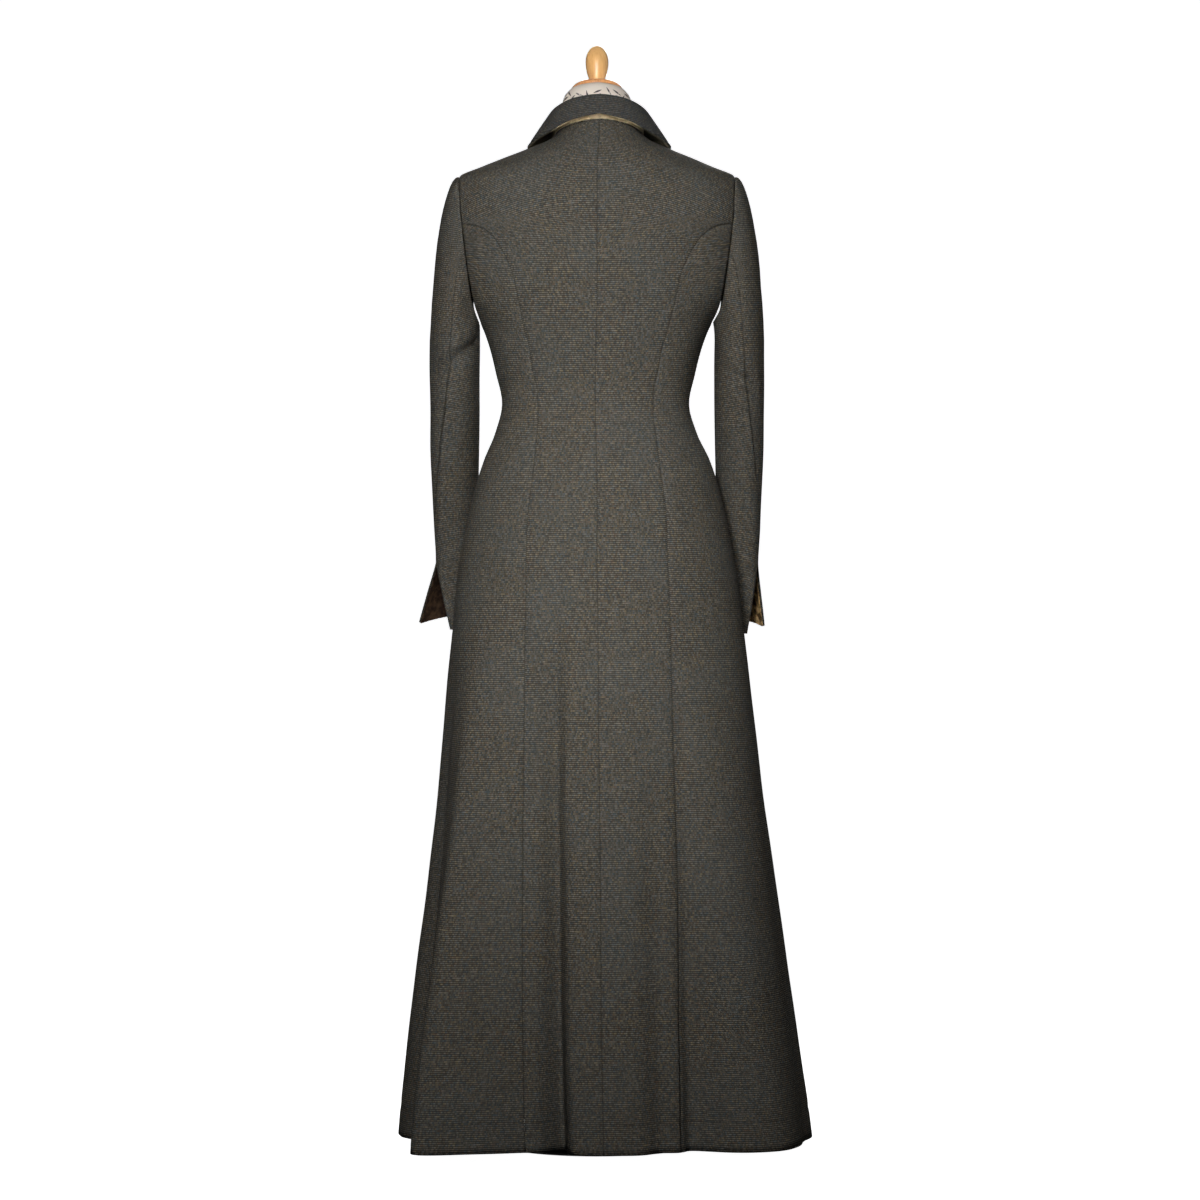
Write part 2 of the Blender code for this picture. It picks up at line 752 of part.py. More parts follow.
def through(knots, travel):
    """A smooth curve through knots, with travel from 0 to 1."""
    count = len(knots) - 1
    place = min(max(travel, 0.0), 1.0) * count
    k = min(int(place), count - 1)
    t = place - k
    before, low, high, after = (knots[min(max(k + n, 0), count)] for n in (-1, 0, 1, 2))
    return 0.5 * (2 * low + (high - before) * t + (2 * before - 5 * low + 4 * high - after) * t ** 2
                  + (3 * low - before - 3 * high + after) * t ** 3)


def collar(name, material, depth):
    places = []
    for row in range(COLLAR_ROWS + 1):
        travel = row / COLLAR_ROWS
        places.append([(mix(-COLLAR_END, COLLAR_END, k / COLLAR_COLUMNS), travel)
                       for k in range(COLLAR_COLUMNS + 1)])
    sew(name, material, collar_skin, places, COLLAR_WALL, sign=-1, depth=depth)


def button(number, height, material):
    """A cloth-covered button on the front edge."""
    place = skin(180.0, height)
    normal = surface_normal(skin, 180.0, height, 1)
    tilt = math.asin(normal[2])
    across = math.degrees(BUTTON_RADIUS / np.linalg.norm(place[:2]))
    rim = [skin(180.0 + turn * across, height + rise * BUTTON_RADIUS)
           for turn in (-1, 0, 1) for rise in (-1, 0, 1)]
    seat = max(float(np.dot(point - place, normal)) for point in rim)
    top = BUTTON_THICKNESS
    made = turned(f"button_{number}", material, (
        (0.0, top), (BUTTON_RADIUS * 0.55, top * 0.92), (BUTTON_RADIUS * 0.88, top * 0.66),
        (BUTTON_RADIUS, top * 0.36), (BUTTON_RADIUS * 0.75, 0.0), (0.0, 0.0),
    ), BUTTON_STEPS)
    made.location = place + normal * (seat + BUTTON_GAP)
    made.rotation_euler = (math.radians(90.0) - tilt, 0.0, 0.0)


# Dress form

def form_point(angle, height):
    """The torso lies inside the coat, with flat plates at the arms, and meets it on the shoulders."""
    turn = math.radians(angle)
    front = smooth_step(-math.cos(turn) * 4)
    ease = form_ease.at("ease", height) + TWEED_WALL + FORM_FRONT_EASE * front
    radius = base_radius(angle, height) - ease
    plate = form_ease.at("plate", height)
    centre = sections.at("centre", height)
    x = radius * math.sin(turn)
    if abs(x) > plate:
        x = math.copysign(plate, x)
    return (centre + x, radius * math.cos(turn), height)


def on_neck(point, lean):
    """Leans a point of the neck forward with the slanted cap, about the cap's rim."""
    tilt = math.radians(NECK_TILT) * lean
    x, y, z = point[0], point[1], point[2] - CAP_RIM
    return (x, y * math.cos(tilt) - z * math.sin(tilt), CAP_RIM + y * math.sin(tilt) + z * math.cos(tilt))


def seat_on_neck(made):
    """Leans a turned piece, whose heights start from the cap's rim."""
    made.location = (0.0, 0.0, CAP_RIM)
    made.rotation_euler = (math.radians(NECK_TILT), 0.0, 0.0)


def torso(material):
    """One closed body from the hips to the top of the neck, shaped from a sphere."""
    heights = list(FORM_HEIGHTS) + [row[0] for row in FORM_NECK[1:]]
    rings = len(heights)
    mesh_builder = bmesh.new()
    bmesh.ops.create_uvsphere(mesh_builder, u_segments=FORM_SEGMENTS, v_segments=rings + 1, radius=1.0)
    for vertex in mesh_builder.verts:
        polar = math.acos(min(max(vertex.co.z, -1.0), 1.0))
        ring = rings - int(round(polar * (rings + 1) / math.pi))
        angle = math.degrees(math.atan2(vertex.co.x, vertex.co.y))
        if ring < 0:
            vertex.co = (0.0, 0.0, heights[0])
        elif ring >= rings:
            vertex.co = on_neck((0.0, 0.0, heights[-1] + NECK_DOME), 1.0)
        elif ring >= len(FORM_HEIGHTS):
            radius = form_neck.at("radius", heights[ring])
            turn = math.radians(angle)
            level = (radius * math.sin(turn), radius * math.cos(turn), heights[ring])
            vertex.co = on_neck(level, form_neck.at("lean", heights[ring]))
        elif ring == 0:
            x, y, _ = form_point(angle, heights[1])
            shrink = 1 - FORM_BOTTOM_EDGE / math.hypot(x, y)
            vertex.co = (x * shrink, y * shrink, heights[0])
        else:
            vertex.co = form_point(angle, heights[ring])
    bmesh.ops.recalc_face_normals(mesh_builder, faces=mesh_builder.faces[:])
    finish_mesh("form_torso", material, mesh_builder)


def dome(radius, count, rim, top):
    """Half profile of a shallow dome, from its middle to its rim."""
    return [(radius * math.sin(math.pi / 2 * k / count), mix(rim, top, math.cos(math.pi / 2 * k / count)))
            for k in range(count + 1)]


def neck_cap(material):
    """A thin wooden dome over the top of the neck."""
    upper = dome(CAP_RADIUS, 6, 0.0, CAP_RISE)
    lower = dome(CAP_RADIUS - CAP_BEVEL, 5, -CAP_EDGE, CAP_RISE - CAP_THICKNESS)
    seat_on_neck(turned("neck_cap", material, upper + list(reversed(lower))))


def finial(material):
    """A turned egg on a narrow foot."""
    foot = CAP_RISE + SEAM_GAP
    widest = foot + FINIAL_HEIGHT * FINIAL_WIDEST
    top = foot + FINIAL_HEIGHT
    profile = []
    for k in range(FINIAL_EGG_ROWS + 1):
        turn = math.pi / 2 * k / FINIAL_EGG_ROWS
        profile.append((FINIAL_RADIUS * math.sin(turn), mix(widest, top, math.cos(turn))))
    for k in range(1, FINIAL_FOOT_ROWS + 1):
        t = k / FINIAL_FOOT_ROWS
        profile.append((mix(FINIAL_RADIUS, FINIAL_FOOT, t ** 2), mix(widest, foot, t)))
    profile.append((0.0, foot))
    seat_on_neck(turned("finial", material, profile))


def base_plate(material):
    turned("base", material, (
        (0.0, HUB_HEIGHT), (HUB_RADIUS * 0.9, HUB_HEIGHT), (HUB_RADIUS, HUB_HEIGHT * 0.95),
        (HUB_RADIUS, HUB_HEIGHT * 0.35), (HUB_RADIUS * 1.35, HUB_HEIGHT * 0.22),
        (BASE_RADIUS * 0.4, BASE_THICKNESS), (BASE_RADIUS - 0.003, BASE_THICKNESS * 0.85),
        (BASE_RADIUS, BASE_THICKNESS * 0.5), (BASE_RADIUS, 0.0), (0.0, 0.0),
    ))


def pole(material):
    bottom = HUB_HEIGHT + SEAM_GAP
    top = FORM_HEIGHTS[0] - SEAM_GAP
    mesh_builder = bmesh.new()
    bmesh.ops.create_cone(mesh_builder, cap_ends=True, cap_tris=False, segments=20,
                          radius1=POLE_RADIUS, radius2=POLE_RADIUS, depth=top - bottom)
    bmesh.ops.translate(mesh_builder, verts=mesh_builder.verts[:], vec=(0.0, 0.0, (top + bottom) / 2))
    finish_mesh("pole", material, mesh_builder)


def build():
    for old in list(bpy.data.objects):
        bpy.data.objects.remove(old, do_unlink=True)
    collection = bpy.data.collections.new(COLLECTION)
    bpy.context.scene.collection.children.link(collection)
    collection.objects.link(bpy.data.objects.new("coat_origin", None))

    tweed = make_material("tweed", (0.075, 0.075, 0.065), 0.95)
    velvet = make_material("velvet", (0.16, 0.10, 0.045), 0.8)
    cover = make_material("form_cover", (0.75, 0.70, 0.62), 0.85)
    beech = make_material("beech", (0.70, 0.42, 0.19), 0.4)
    steel = make_material("stand_steel", (0.5, 0.5, 0.5), 0.35, 1.0)

    for side in (1, -1):
        centre_back(side, tweed)
        side_back(side, tweed)
        side_front(side, tweed)
        centre_front(side, tweed)
        top_sleeve(side, tweed)
        under_sleeve(side, tweed)
        cuff_facing(side, velvet)
    collar("top_collar", tweed, 0.0)
    collar("under_collar", velvet, COLLAR_WALL + SEAM_GAP)
    for number, height in enumerate(BUTTON_HEIGHTS, 1):
        button(number, height, tweed)
    torso(cover)
    neck_cap(beech)
    finial(beech)
    pole(steel)
    base_plate(steel)


build()
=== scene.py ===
import math

import bmesh
import bpy
import numpy as np
from mathutils import Matrix, Vector


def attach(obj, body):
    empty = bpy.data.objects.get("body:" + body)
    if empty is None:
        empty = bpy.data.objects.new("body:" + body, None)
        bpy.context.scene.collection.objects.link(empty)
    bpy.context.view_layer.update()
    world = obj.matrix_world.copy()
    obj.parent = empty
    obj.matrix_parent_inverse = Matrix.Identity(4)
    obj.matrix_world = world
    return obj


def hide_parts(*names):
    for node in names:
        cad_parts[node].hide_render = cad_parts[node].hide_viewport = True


# A full-length tweed coat on a limbless dress form. Metres, +Z up, the coat's back faces +Y.
# Angles run in degrees from the centre back through the wearer's left, which is +X.

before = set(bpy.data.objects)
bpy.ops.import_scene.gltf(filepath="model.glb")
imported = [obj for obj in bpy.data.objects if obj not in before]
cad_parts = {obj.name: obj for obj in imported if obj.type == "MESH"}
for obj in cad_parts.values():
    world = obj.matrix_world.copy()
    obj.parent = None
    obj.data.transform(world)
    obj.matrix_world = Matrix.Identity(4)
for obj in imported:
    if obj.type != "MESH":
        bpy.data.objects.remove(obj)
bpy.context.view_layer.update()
print("frame loaded")


class SizeTable:
    # rows of sizes against their first column, read smoothly between the rows
    def __init__(self, rows):
        values = np.array(rows[1:], dtype=float)
        self.keys = values[:, 0]
        self.columns = {name: values[:, k] for k, name in enumerate(rows[0])}
        self.slopes = {name: self.slopesOf(column) for name, column in self.columns.items()}

    def slopesOf(self, values):
        steps = np.diff(self.keys)
        rises = np.diff(values) / steps
        slopes = np.concatenate([[rises[0]], np.zeros(len(values) - 2), [rises[-1]]])
        for k in range(1, len(values) - 1):
            if rises[k - 1] * rises[k] > 0:
                first = 2 * steps[k] + steps[k - 1]
                second = steps[k] + 2 * steps[k - 1]
                slopes[k] = (first + second) / (first / rises[k - 1] + second / rises[k])
        return slopes

    def read(self, name, keys):
        keys = np.clip(np.asarray(keys, dtype=float), self.keys[0], self.keys[-1])
        k = np.clip(np.searchsorted(self.keys, keys) - 1, 0, len(self.keys) - 2)
        step = self.keys[k + 1] - self.keys[k]
        t = (keys - self.keys[k]) / step
        low, high = self.columns[name][k], self.columns[name][k + 1]
        rise, fall = self.slopes[name][k] * step, self.slopes[name][k + 1] * step
        start = (1 + 2 * t) * (1 - t) ** 2 * low + t * (1 - t) ** 2 * rise
        return start + t * t * (3 - 2 * t) * high + t * t * (t - 1) * fall


def mix(low, high, t):
    return low + (high - low) * t


def smoothStep(t):
    t = np.clip(t, 0.0, 1.0)
    return t * t * (3 - 2 * t)


def wrapped(angle):
    return (angle + 180.0) % 360.0 - 180.0


def findRoot(function, low, high, shape, rounds=36):
    # bisects to where a rising function crosses zero, for a whole array of places
    low, high = np.full(shape, float(low)), np.full(shape, float(high))
    for _ in range(rounds):
        middle = (low + high) / 2
        above = function(middle) > 0
        high = np.where(above, middle, high)
        low = np.where(above, low, middle)
    return (low + high) / 2


def rowsOf(table):
    return [dict(zip(table[0], row)) for row in table[1:]]


# The coat's body, one surface that its panels are cut from
coatBody = {
    "wall": 0.0025,
    "hem": 0.012,
    "chest": 1.215,
    "princessTop": 1.2379,
    "underarm": 1.109,
    "shoulderTip": 1.306,
    "neckTop": 1.400,
    "frontNeck": 1.300,
    "frontJoin": 1.205,
    "neckHalfWidth": 0.060,
    "neckBack": 0.059,
    "neckFront": 0.082,
    "foldGrowth": 1.15,
    "waist": 1.0,
    "shoulderFoot": 1.20,
    "creaseRadius": 0.12,
    "softness": 0.0007,
    "softRadius": 0.16,
    "softTo": 1.24,
    "softFade": 0.05,
}
sections = SizeTable((
    ("height", "centre", "halfWidth", "back", "front", "square"),
    (0.012, -0.0090, 0.2820, 0.2220, 0.2140, 2.60),
    (0.060, -0.0080, 0.2770, 0.2190, 0.2090, 2.60),
    (0.195, -0.0055, 0.2592, 0.2060, 0.1960, 2.50),
    (0.330, -0.0050, 0.2403, 0.1930, 0.1830, 2.40),
    (0.465, -0.0035, 0.2221, 0.1790, 0.1690, 2.35),
    (0.600, -0.0020, 0.2072, 0.1640, 0.1540, 2.25),
    (0.735, -0.0010, 0.1925, 0.1490, 0.1400, 2.15),
    (0.803, 0.0000, 0.1825, 0.1390, 0.1320, 2.10),
    (0.870, 0.0000, 0.1685, 0.1270, 0.1240, 2.05),
    (0.924, 0.0005, 0.1526, 0.1140, 0.1180, 2.05),
    (0.960, 0.0015, 0.1365, 0.1020, 0.1120, 2.05),
    (1.000, 0.0020, 0.1262, 0.0900, 0.1080, 2.10),
    (1.040, 0.0020, 0.1345, 0.0940, 0.1130, 2.10),
    (1.080, 0.0015, 0.1450, 0.1030, 0.1240, 2.15),
    (1.109, 0.0010, 0.1565, 0.1090, 0.1340, 2.20),
    (1.130, 0.0000, 0.1700, 0.1120, 0.1380, 2.25),
    (1.159, 0.0000, 0.1840, 0.1160, 0.1400, 2.30),
    (1.195, 0.0000, 0.1940, 0.1200, 0.1350, 2.35),
    (1.236, 0.0000, 0.1995, 0.1210, 0.1230, 2.35),
    (1.270, 0.0000, 0.2000, 0.1180, 0.1040, 2.30),
    (1.294, 0.0000, 0.1955, 0.1110, 0.0880, 2.20),
    (1.306, 0.0000, 0.1863, 0.1060, 0.0800, 2.10),
    (1.318, 0.0000, 0.1580, 0.1005, 0.0730, 2.05),
    (1.330, -0.0010, 0.1290, 0.0945, 0.0660, 2.00),
    (1.343, -0.0020, 0.0960, 0.0865, 0.0585, 2.00),
    (1.360, -0.0030, 0.0620, 0.0715, 0.0500, 2.00),
    (1.378, -0.0030, 0.0560, 0.0590, 0.0450, 2.00),
    (1.400, -0.0030, 0.0540, 0.0560, 0.0440, 2.00),
))

# Skirt folds start at a height and grow to their depth at the hem
skirtFolds = rowsOf((
    ("start", "angleAtStart", "angleAtHem", "spread", "depth"),
    (0.830, 22.0, 18.0, 5.0, -0.060),
    (0.800, 32.0, 28.0, 7.0, -0.026),
    (0.730, 56.0, 49.0, 7.5, 0.054),
    (0.740, 79.0, 74.0, 8.5, -0.040),
    (0.640, 92.0, 88.0, 9.0, -0.006),
    (0.720, -24.0, -22.0, 7.0, -0.026),
    (0.720, -37.0, -34.5, 6.4, -0.045),
    (0.600, -52.0, -54.0, 8.0, 0.010),
    (0.600, -78.0, -76.0, 8.0, -0.010),
    (0.700, 112.0, 114.0, 8.0, -0.034),
    (0.650, 140.0, 141.0, 8.0, -0.022),
    (0.700, -110.0, -112.0, 8.0, -0.036),
    (0.650, -140.0, -139.0, 8.0, -0.024),
))

# Creases of the body, each a soft trough or ridge from one place to another
bodyCreases = rowsOf((
    ("turn", "height", "toTurn", "toHeight", "width", "depth"),
    (8.0, 1.012, 34.0, 1.006, 0.0070, -0.0019),
    (-6.0, 1.004, -30.0, 1.010, 0.0075, -0.0017),
    (14.0, 0.984, 44.0, 0.972, 0.0085, -0.0020),
    (-18.0, 0.978, -46.0, 0.984, 0.0080, -0.0019),
    (48.0, 1.018, 76.0, 1.036, 0.0075, -0.0020),
    (-50.0, 1.016, -78.0, 1.030, 0.0080, -0.0020),
    (40.0, 1.060, 66.0, 1.096, 0.0110, -0.0020),
    (-42.0, 1.056, -64.0, 1.090, 0.0110, -0.0019),
    (36.0, 1.196, 58.0, 1.150, 0.0130, -0.0022),
    (-38.0, 1.190, -60.0, 1.146, 0.0130, -0.0020),
    (120.0, 1.012, 148.0, 1.004, 0.0080, -0.0020),
    (-124.0, 1.006, -150.0, 1.010, 0.0080, -0.0019),
    (112.0, 1.060, 134.0, 1.094, 0.0110, -0.0020),
    (-114.0, 1.054, -136.0, 1.090, 0.0110, -0.0020),
    (126.0, 0.978, 158.0, 0.970, 0.0085, -0.0017),
    (-128.0, 0.974, -156.0, 0.980, 0.0085, -0.0019),
))


def softness(across, up):
    # slow unevenness of worn cloth, from -1 to 1
    waves = ((41.0, 13.0, 0.4), (-27.0, 31.0, 1.9), (63.0, -22.0, 4.1), (15.0, 52.0, 2.7))
    return sum(np.sin(a * across + b * up + c) for a, b, c in waves) / len(waves)


def creaseShape(creases, turns, up, radius):
    # the sum of creases on cloth of about this radius
    scale = math.radians(radius)
    across = turns * scale
    total = np.zeros(np.shape(across))
    for crease in creases:
        ax, ay = crease["turn"] * scale, crease["height"]
        bx, by = crease["toTurn"] * scale, crease["toHeight"]
        length = math.hypot(bx - ax, by - ay)
        along = ((across - ax) * (bx - ax) + (up - ay) * (by - ay)) / length ** 2
        t = np.clip(along, 0.0, 1.0)
        away = np.hypot(across - mix(ax, bx, t), up - mix(ay, by, t))
        # a crease is deepest near its middle
        swell = 0.55 + 0.45 * np.sin(math.pi * np.clip(0.15 + 0.8 * along, 0.0, 1.0))
        total += crease["depth"] * swell * np.exp(-(away / crease["width"]) ** 2)
    return total


def plainRadius(angle, height):
    turn = np.radians(angle)
    depth = np.where(np.cos(turn) > 0, sections.read("back", height), sections.read("front", height))
    square = sections.read("square", height)
    across = np.abs(np.sin(turn)) / sections.read("halfWidth", height)
    along = np.abs(np.cos(turn)) / depth
    return (across ** square + along ** square) ** (-1 / square)


def foldShape(angle, height):
    total = np.zeros(np.broadcast(angle, height).shape)
    for fold in skirtFolds:
        t = np.clip((fold["start"] - height) / (fold["start"] - coatBody["hem"]), 0.0, None)
        middle = mix(fold["angleAtStart"], fold["angleAtHem"], t)
        away = wrapped(angle - middle)
        total = total + fold["depth"] * t ** coatBody["foldGrowth"] * np.exp(-(away / fold["spread"]) ** 2)
    return total


def bodySkin(angle, height, creased=True):
    angle, height = np.broadcast_arrays(np.asarray(angle, float), np.asarray(height, float))
    radius = plainRadius(angle, height) + foldShape(angle, height)
    if creased:
        radius = radius + creaseShape(bodyCreases, wrapped(angle), height, coatBody["creaseRadius"])
        soft = coatBody["softness"] * softness(np.radians(angle) * coatBody["softRadius"], height)
        radius = radius + soft * (1 - smoothStep((height - coatBody["softTo"]) / coatBody["softFade"]))
    turn = np.radians(angle)
    across = sections.read("centre", height) + radius * np.sin(turn)
    return np.stack([across, radius * np.cos(turn), height], axis=-1)


def angleAt(out, height, side, back):
    # the angle where the section lies at a distance out from its centre line
    out, height = np.broadcast_arrays(np.asarray(out, float), np.asarray(height, float))

    def reach(angle):
        turn = angle if back else 180.0 - angle
        radius = plainRadius(turn, height) + foldShape(side * turn, height)
        return radius * np.sin(np.radians(turn)) - out

    found = findRoot(reach, 0.0, 90.0, out.shape)
    return side * (found if back else 180.0 - found)


def heightOn(angle, radius):
    # the height at which the shoulders reach a plan radius
    angle, radius = np.broadcast_arrays(np.asarray(angle, float), np.asarray(radius, float))
    foot, top = coatBody["shoulderFoot"], coatBody["neckTop"]
    return findRoot(lambda height: radius - plainRadius(angle, height), foot, top, angle.shape)


def neckRadius(angle):
    turn = np.radians(angle)
    depth = np.where(np.cos(turn) > 0, coatBody["neckBack"], coatBody["neckFront"])
    return 1 / np.hypot(np.sin(turn) / coatBody["neckHalfWidth"], np.cos(turn) / depth)


upOnly = np.array([0.0, 0.0, 1.0])


def outerNormals(points, centre, start=0):
    # a grid's normals, turned away from a line by what its rows from start show, and 1 or -1 for the turn
    normals = np.cross(np.gradient(points, axis=1), np.gradient(points, axis=0))
    normals = normals / np.linalg.norm(normals, axis=2, keepdims=True)
    outside = float(((points - centre) * normals)[start:].sum(axis=2).mean()) > 0
    facing = 1 if outside else -1
    return normals * facing, facing


def pathLengths(points, axis):
    # how far each point lies from the first of its row or column, over the cloth
    run = np.cumsum(np.linalg.norm(np.diff(points, axis=axis), axis=2), axis=axis)
    return np.concatenate([np.zeros_like(np.take(run, [0], axis=axis)), run], axis=axis)


def edgeDistances(points, axis):
    # the same from both ends
    run = pathLengths(points, axis)
    return run, np.take(run, [-1], axis=axis) - run


def spread(levels, step, edge=(), end=()):
    # row or column numbers: each space between two levels is split, and finer by the ends
    numbers = [0.0]
    for k, space in enumerate(np.abs(np.diff(levels))):
        parts = max(1, int(math.ceil(space / step)))
        numbers += [k + n / parts for n in range(1, parts + 1)]
    last = numbers[-1]
    numbers += list(edge) + [last - e for e in end]
    return np.array(sorted(set(round(n, 5) for n in numbers)))


# Shader helpers: a wire is a socket that takes part in sums
class Wire:
    def __init__(self, tree, socket):
        self.tree, self.socket = tree, socket

    def node(self, kind, settings=None, inputs=None, out=0):
        made = self.tree.nodes.new(kind)
        for key, value in (settings or {}).items():
            setattr(made, key, value)
        for key, value in (inputs or {}).items():
            if isinstance(value, Wire):
                self.tree.links.new(value.socket, made.inputs[key])
            else:
                made.inputs[key].default_value = value
        return Wire(self.tree, made.outputs[out])

    def maths(self, operation, *values):
        return self.node("ShaderNodeMath", {"operation": operation}, dict(enumerate(values)))

    def __add__(self, other):
        return self.maths("ADD", self, other)

    def __sub__(self, other):
        return self.maths("SUBTRACT", self, other)

    def __mul__(self, other):
        return self.maths("MULTIPLY", self, other)

    def __truediv__(self, other):
        return self.maths("DIVIDE", self, other)

    def __rsub__(self, other):
        return self.maths("SUBTRACT", other, self)

    __radd__ = __add__

    def clamped(self, low, high):
        # 0 below low, 1 above high, smooth between
        return self.node("ShaderNodeMapRange", {"interpolation_type": "SMOOTHSTEP"},
                         {0: self, 1: low, 2: high})

    def blend(self, low, high):
        # a colour, from low at 0 to high at 1
        return self.node("ShaderNodeMix", {"data_type": "RGBA"}, {0: self, 6: low, 7: high}, out=2)

    def noise(self, scale, detail=2.0, roughness=0.5):
        values = {"Vector": self, "Scale": scale, "Detail": detail, "Roughness": roughness}
        return self.node("ShaderNodeTexNoise", {}, values)

    def parts(self):
        apart = self.node("ShaderNodeSeparateXYZ", {}, {0: self}).socket.node
        return [Wire(self.tree, socket) for socket in apart.outputs]

    def floor(self):
        return self.maths("FLOOR", self)

    def together(self, x, y, z=0.0):
        return self.node("ShaderNodeCombineXYZ", {}, {0: x, 1: y, 2: z})


def rgb(red, green, blue):
    return (red, green, blue, 1.0)


def startMaterial(name, **values):
    # values go to the shader's own sockets, whose names have spaces for the underlines
    material = bpy.data.materials.new(name)
    material.use_nodes = True
    tree = material.node_tree
    shader = tree.nodes["Principled BSDF"]
    for key, value in values.items():
        shader.inputs[key.replace("_", " ")].default_value = value
    return material, Wire(tree, shader.outputs[0]), shader


def connect(wire, shader, name):
    wire.tree.links.new(wire.socket, shader.inputs[name])


def bumpFrom(wire, shader, distance):
    connect(wire.node("ShaderNodeBump", {}, {"Distance": distance, "Height": wire}), shader, "Normal")


tweedLook = {
    "rib": 0.0027,
    "ribWobble": 0.0022,
    "wobbleScale": 30.0,
    "dash": 0.0030,
    "dashStep": (5.7, 13.7),
    "broadScale": 9.0,
    "seamWidth": 0.0014,
    "seamFade": 0.0004,
    "seamShade": 0.42,
    "hemDepth": 0.040,
    "hemFade": 0.0022,
    "hemShade": 0.22,
    "relief": 0.00030,
    # the colour of painted shade, used in the rib valleys, along the seams and at the hem line
    "paintedShade": rgb(0.022, 0.020, 0.017),
    "ground": rgb(0.118, 0.108, 0.088),
    "ochre": rgb(0.200, 0.162, 0.098),
    "slate": rgb(0.086, 0.101, 0.106),
    "russet": rgb(0.140, 0.100, 0.072),
    "shade": rgb(0.040, 0.037, 0.032),
    "pale": rgb(0.235, 0.222, 0.190),
    # painted shade: the collar's copy of the tweed is painted darker and bluer
    "against": rgb(0.030, 0.034, 0.040),
    "againstShare": (0.2, 0.35),
    # over the ground: a noise, the levels it comes in between, its share and its colour
    "layers": (
        ("yarn", 0.50, 0.68, 1.0, "ochre"),
        ("dye", 0.52, 0.66, 1.0, "slate"),
        ("otherDye", 0.56, 0.70, 1.0, "russet"),
        ("dark", 0.46, 0.66, 0.60, "shade"),
        ("light", 0.52, 0.72, 0.50, "pale"),
        # painted shade darkens the valleys between the ribs
        ("betweenRibs", 0.30, 1.0, 0.85, "paintedShade"),
        ("broad", 0.40, 0.62, 0.14, "slate"),
    ),
}


def makeTweed(name):
    look = tweedLook
    material, start, shader = startMaterial(name, Roughness=0.92, Specular_IOR_Level=0.12)
    cut = start.node("ShaderNodeUVMap", {"uv_map": "cut"})
    across, up, _ = cut.parts()
    wobble = cut.noise(look["wobbleScale"]) - 0.5
    phase = (up + wobble * look["ribWobble"]) / look["rib"]
    turn = phase * (2 * math.pi)
    rib = turn.maths("COSINE", turn) * -0.5 + 0.5
    number = phase.floor()
    stepAcross, stepUp = look["dashStep"]

    # each rib has its own run of light, dark and dyed dashes of yarn
    def dashes(length, offset):
        run = across / (look["dash"] * length) + number * stepAcross + offset
        return cut.together(run, number * stepUp + offset).noise(1.0, 1.0, 0.6)

    tone, yarn, dye = dashes(1.0, 0.0), dashes(1.5, 31.0), dashes(1.3, 83.0)
    noises = {
        "yarn": yarn,
        "dye": dye,
        "otherDye": 1.0 - dye,
        "dark": 1.0 - tone,
        "light": tone,
        "betweenRibs": 1.0 - rib,
        "broad": cut.noise(look["broadScale"], 3.0),
    }
    colour = look["ground"]
    for layer, low, high, share, added in look["layers"]:
        colour = (noises[layer].clamped(low, high) * share).blend(colour, look[added])
    # painted shade: the pressed seams are darkened, and the turned-up hem's line shows as a faint painted
    # shade line
    fromSeam, fromHem, _ = start.node("ShaderNodeUVMap", {"uv_map": "edges"}).parts()
    paintedSeamShade = fromSeam.clamped(look["seamWidth"], look["seamFade"]) * look["seamShade"]
    line = fromHem - look["hemDepth"]
    paintedHemShade = line.maths("ABSOLUTE", line).clamped(look["hemFade"], 0.0) * look["hemShade"]
    colour = paintedSeamShade.maths("MAXIMUM", paintedSeamShade, paintedHemShade).blend(colour, look["paintedShade"])
    # the collar's copy gets painted shade, darker and bluer
    if name == "tweed_collar_painted_shade":
        scale, least = look["againstShare"]
        colour = (tone * scale + least).blend(colour, look["against"])
    connect(colour, shader, "Base Color")
    bumpFrom(rib * 0.7 + tone * 0.3, shader, look["relief"])
    return material


velvetLook = {
    # lit and shaded copies of one velvet: the under collar's is painted bright gold as painted light where
    # its strip catches the lamp, and the left cuff's is painted dark as painted shade
    "under_collar": (rgb(0.60, 0.45, 0.24), rgb(1.0, 0.86, 0.56)),
    "cuff_facing_left": (rgb(0.022, 0.012, 0.009), rgb(0.105, 0.062, 0.034)),
    # the right cuff's copy is painted lighter and golder, a painted highlight of the velvet's sheen
    "cuff_facing_right": (rgb(0.055, 0.030, 0.014), rgb(0.95, 0.62, 0.28)),
    "warpScale": 55.0,
    "warp": 0.012,
    "crush": 90.0,
    "fineScale": 900.0,
    "relief": 0.0007,
    # beyond these widths from the middle the velvet fades to a painted shadow, where its ends lie under the
    # collar's fall
    "paintedShadowFrom": (0.046, 0.064),
    "paintedEndShadow": rgb(0.018, 0.016, 0.013),
}


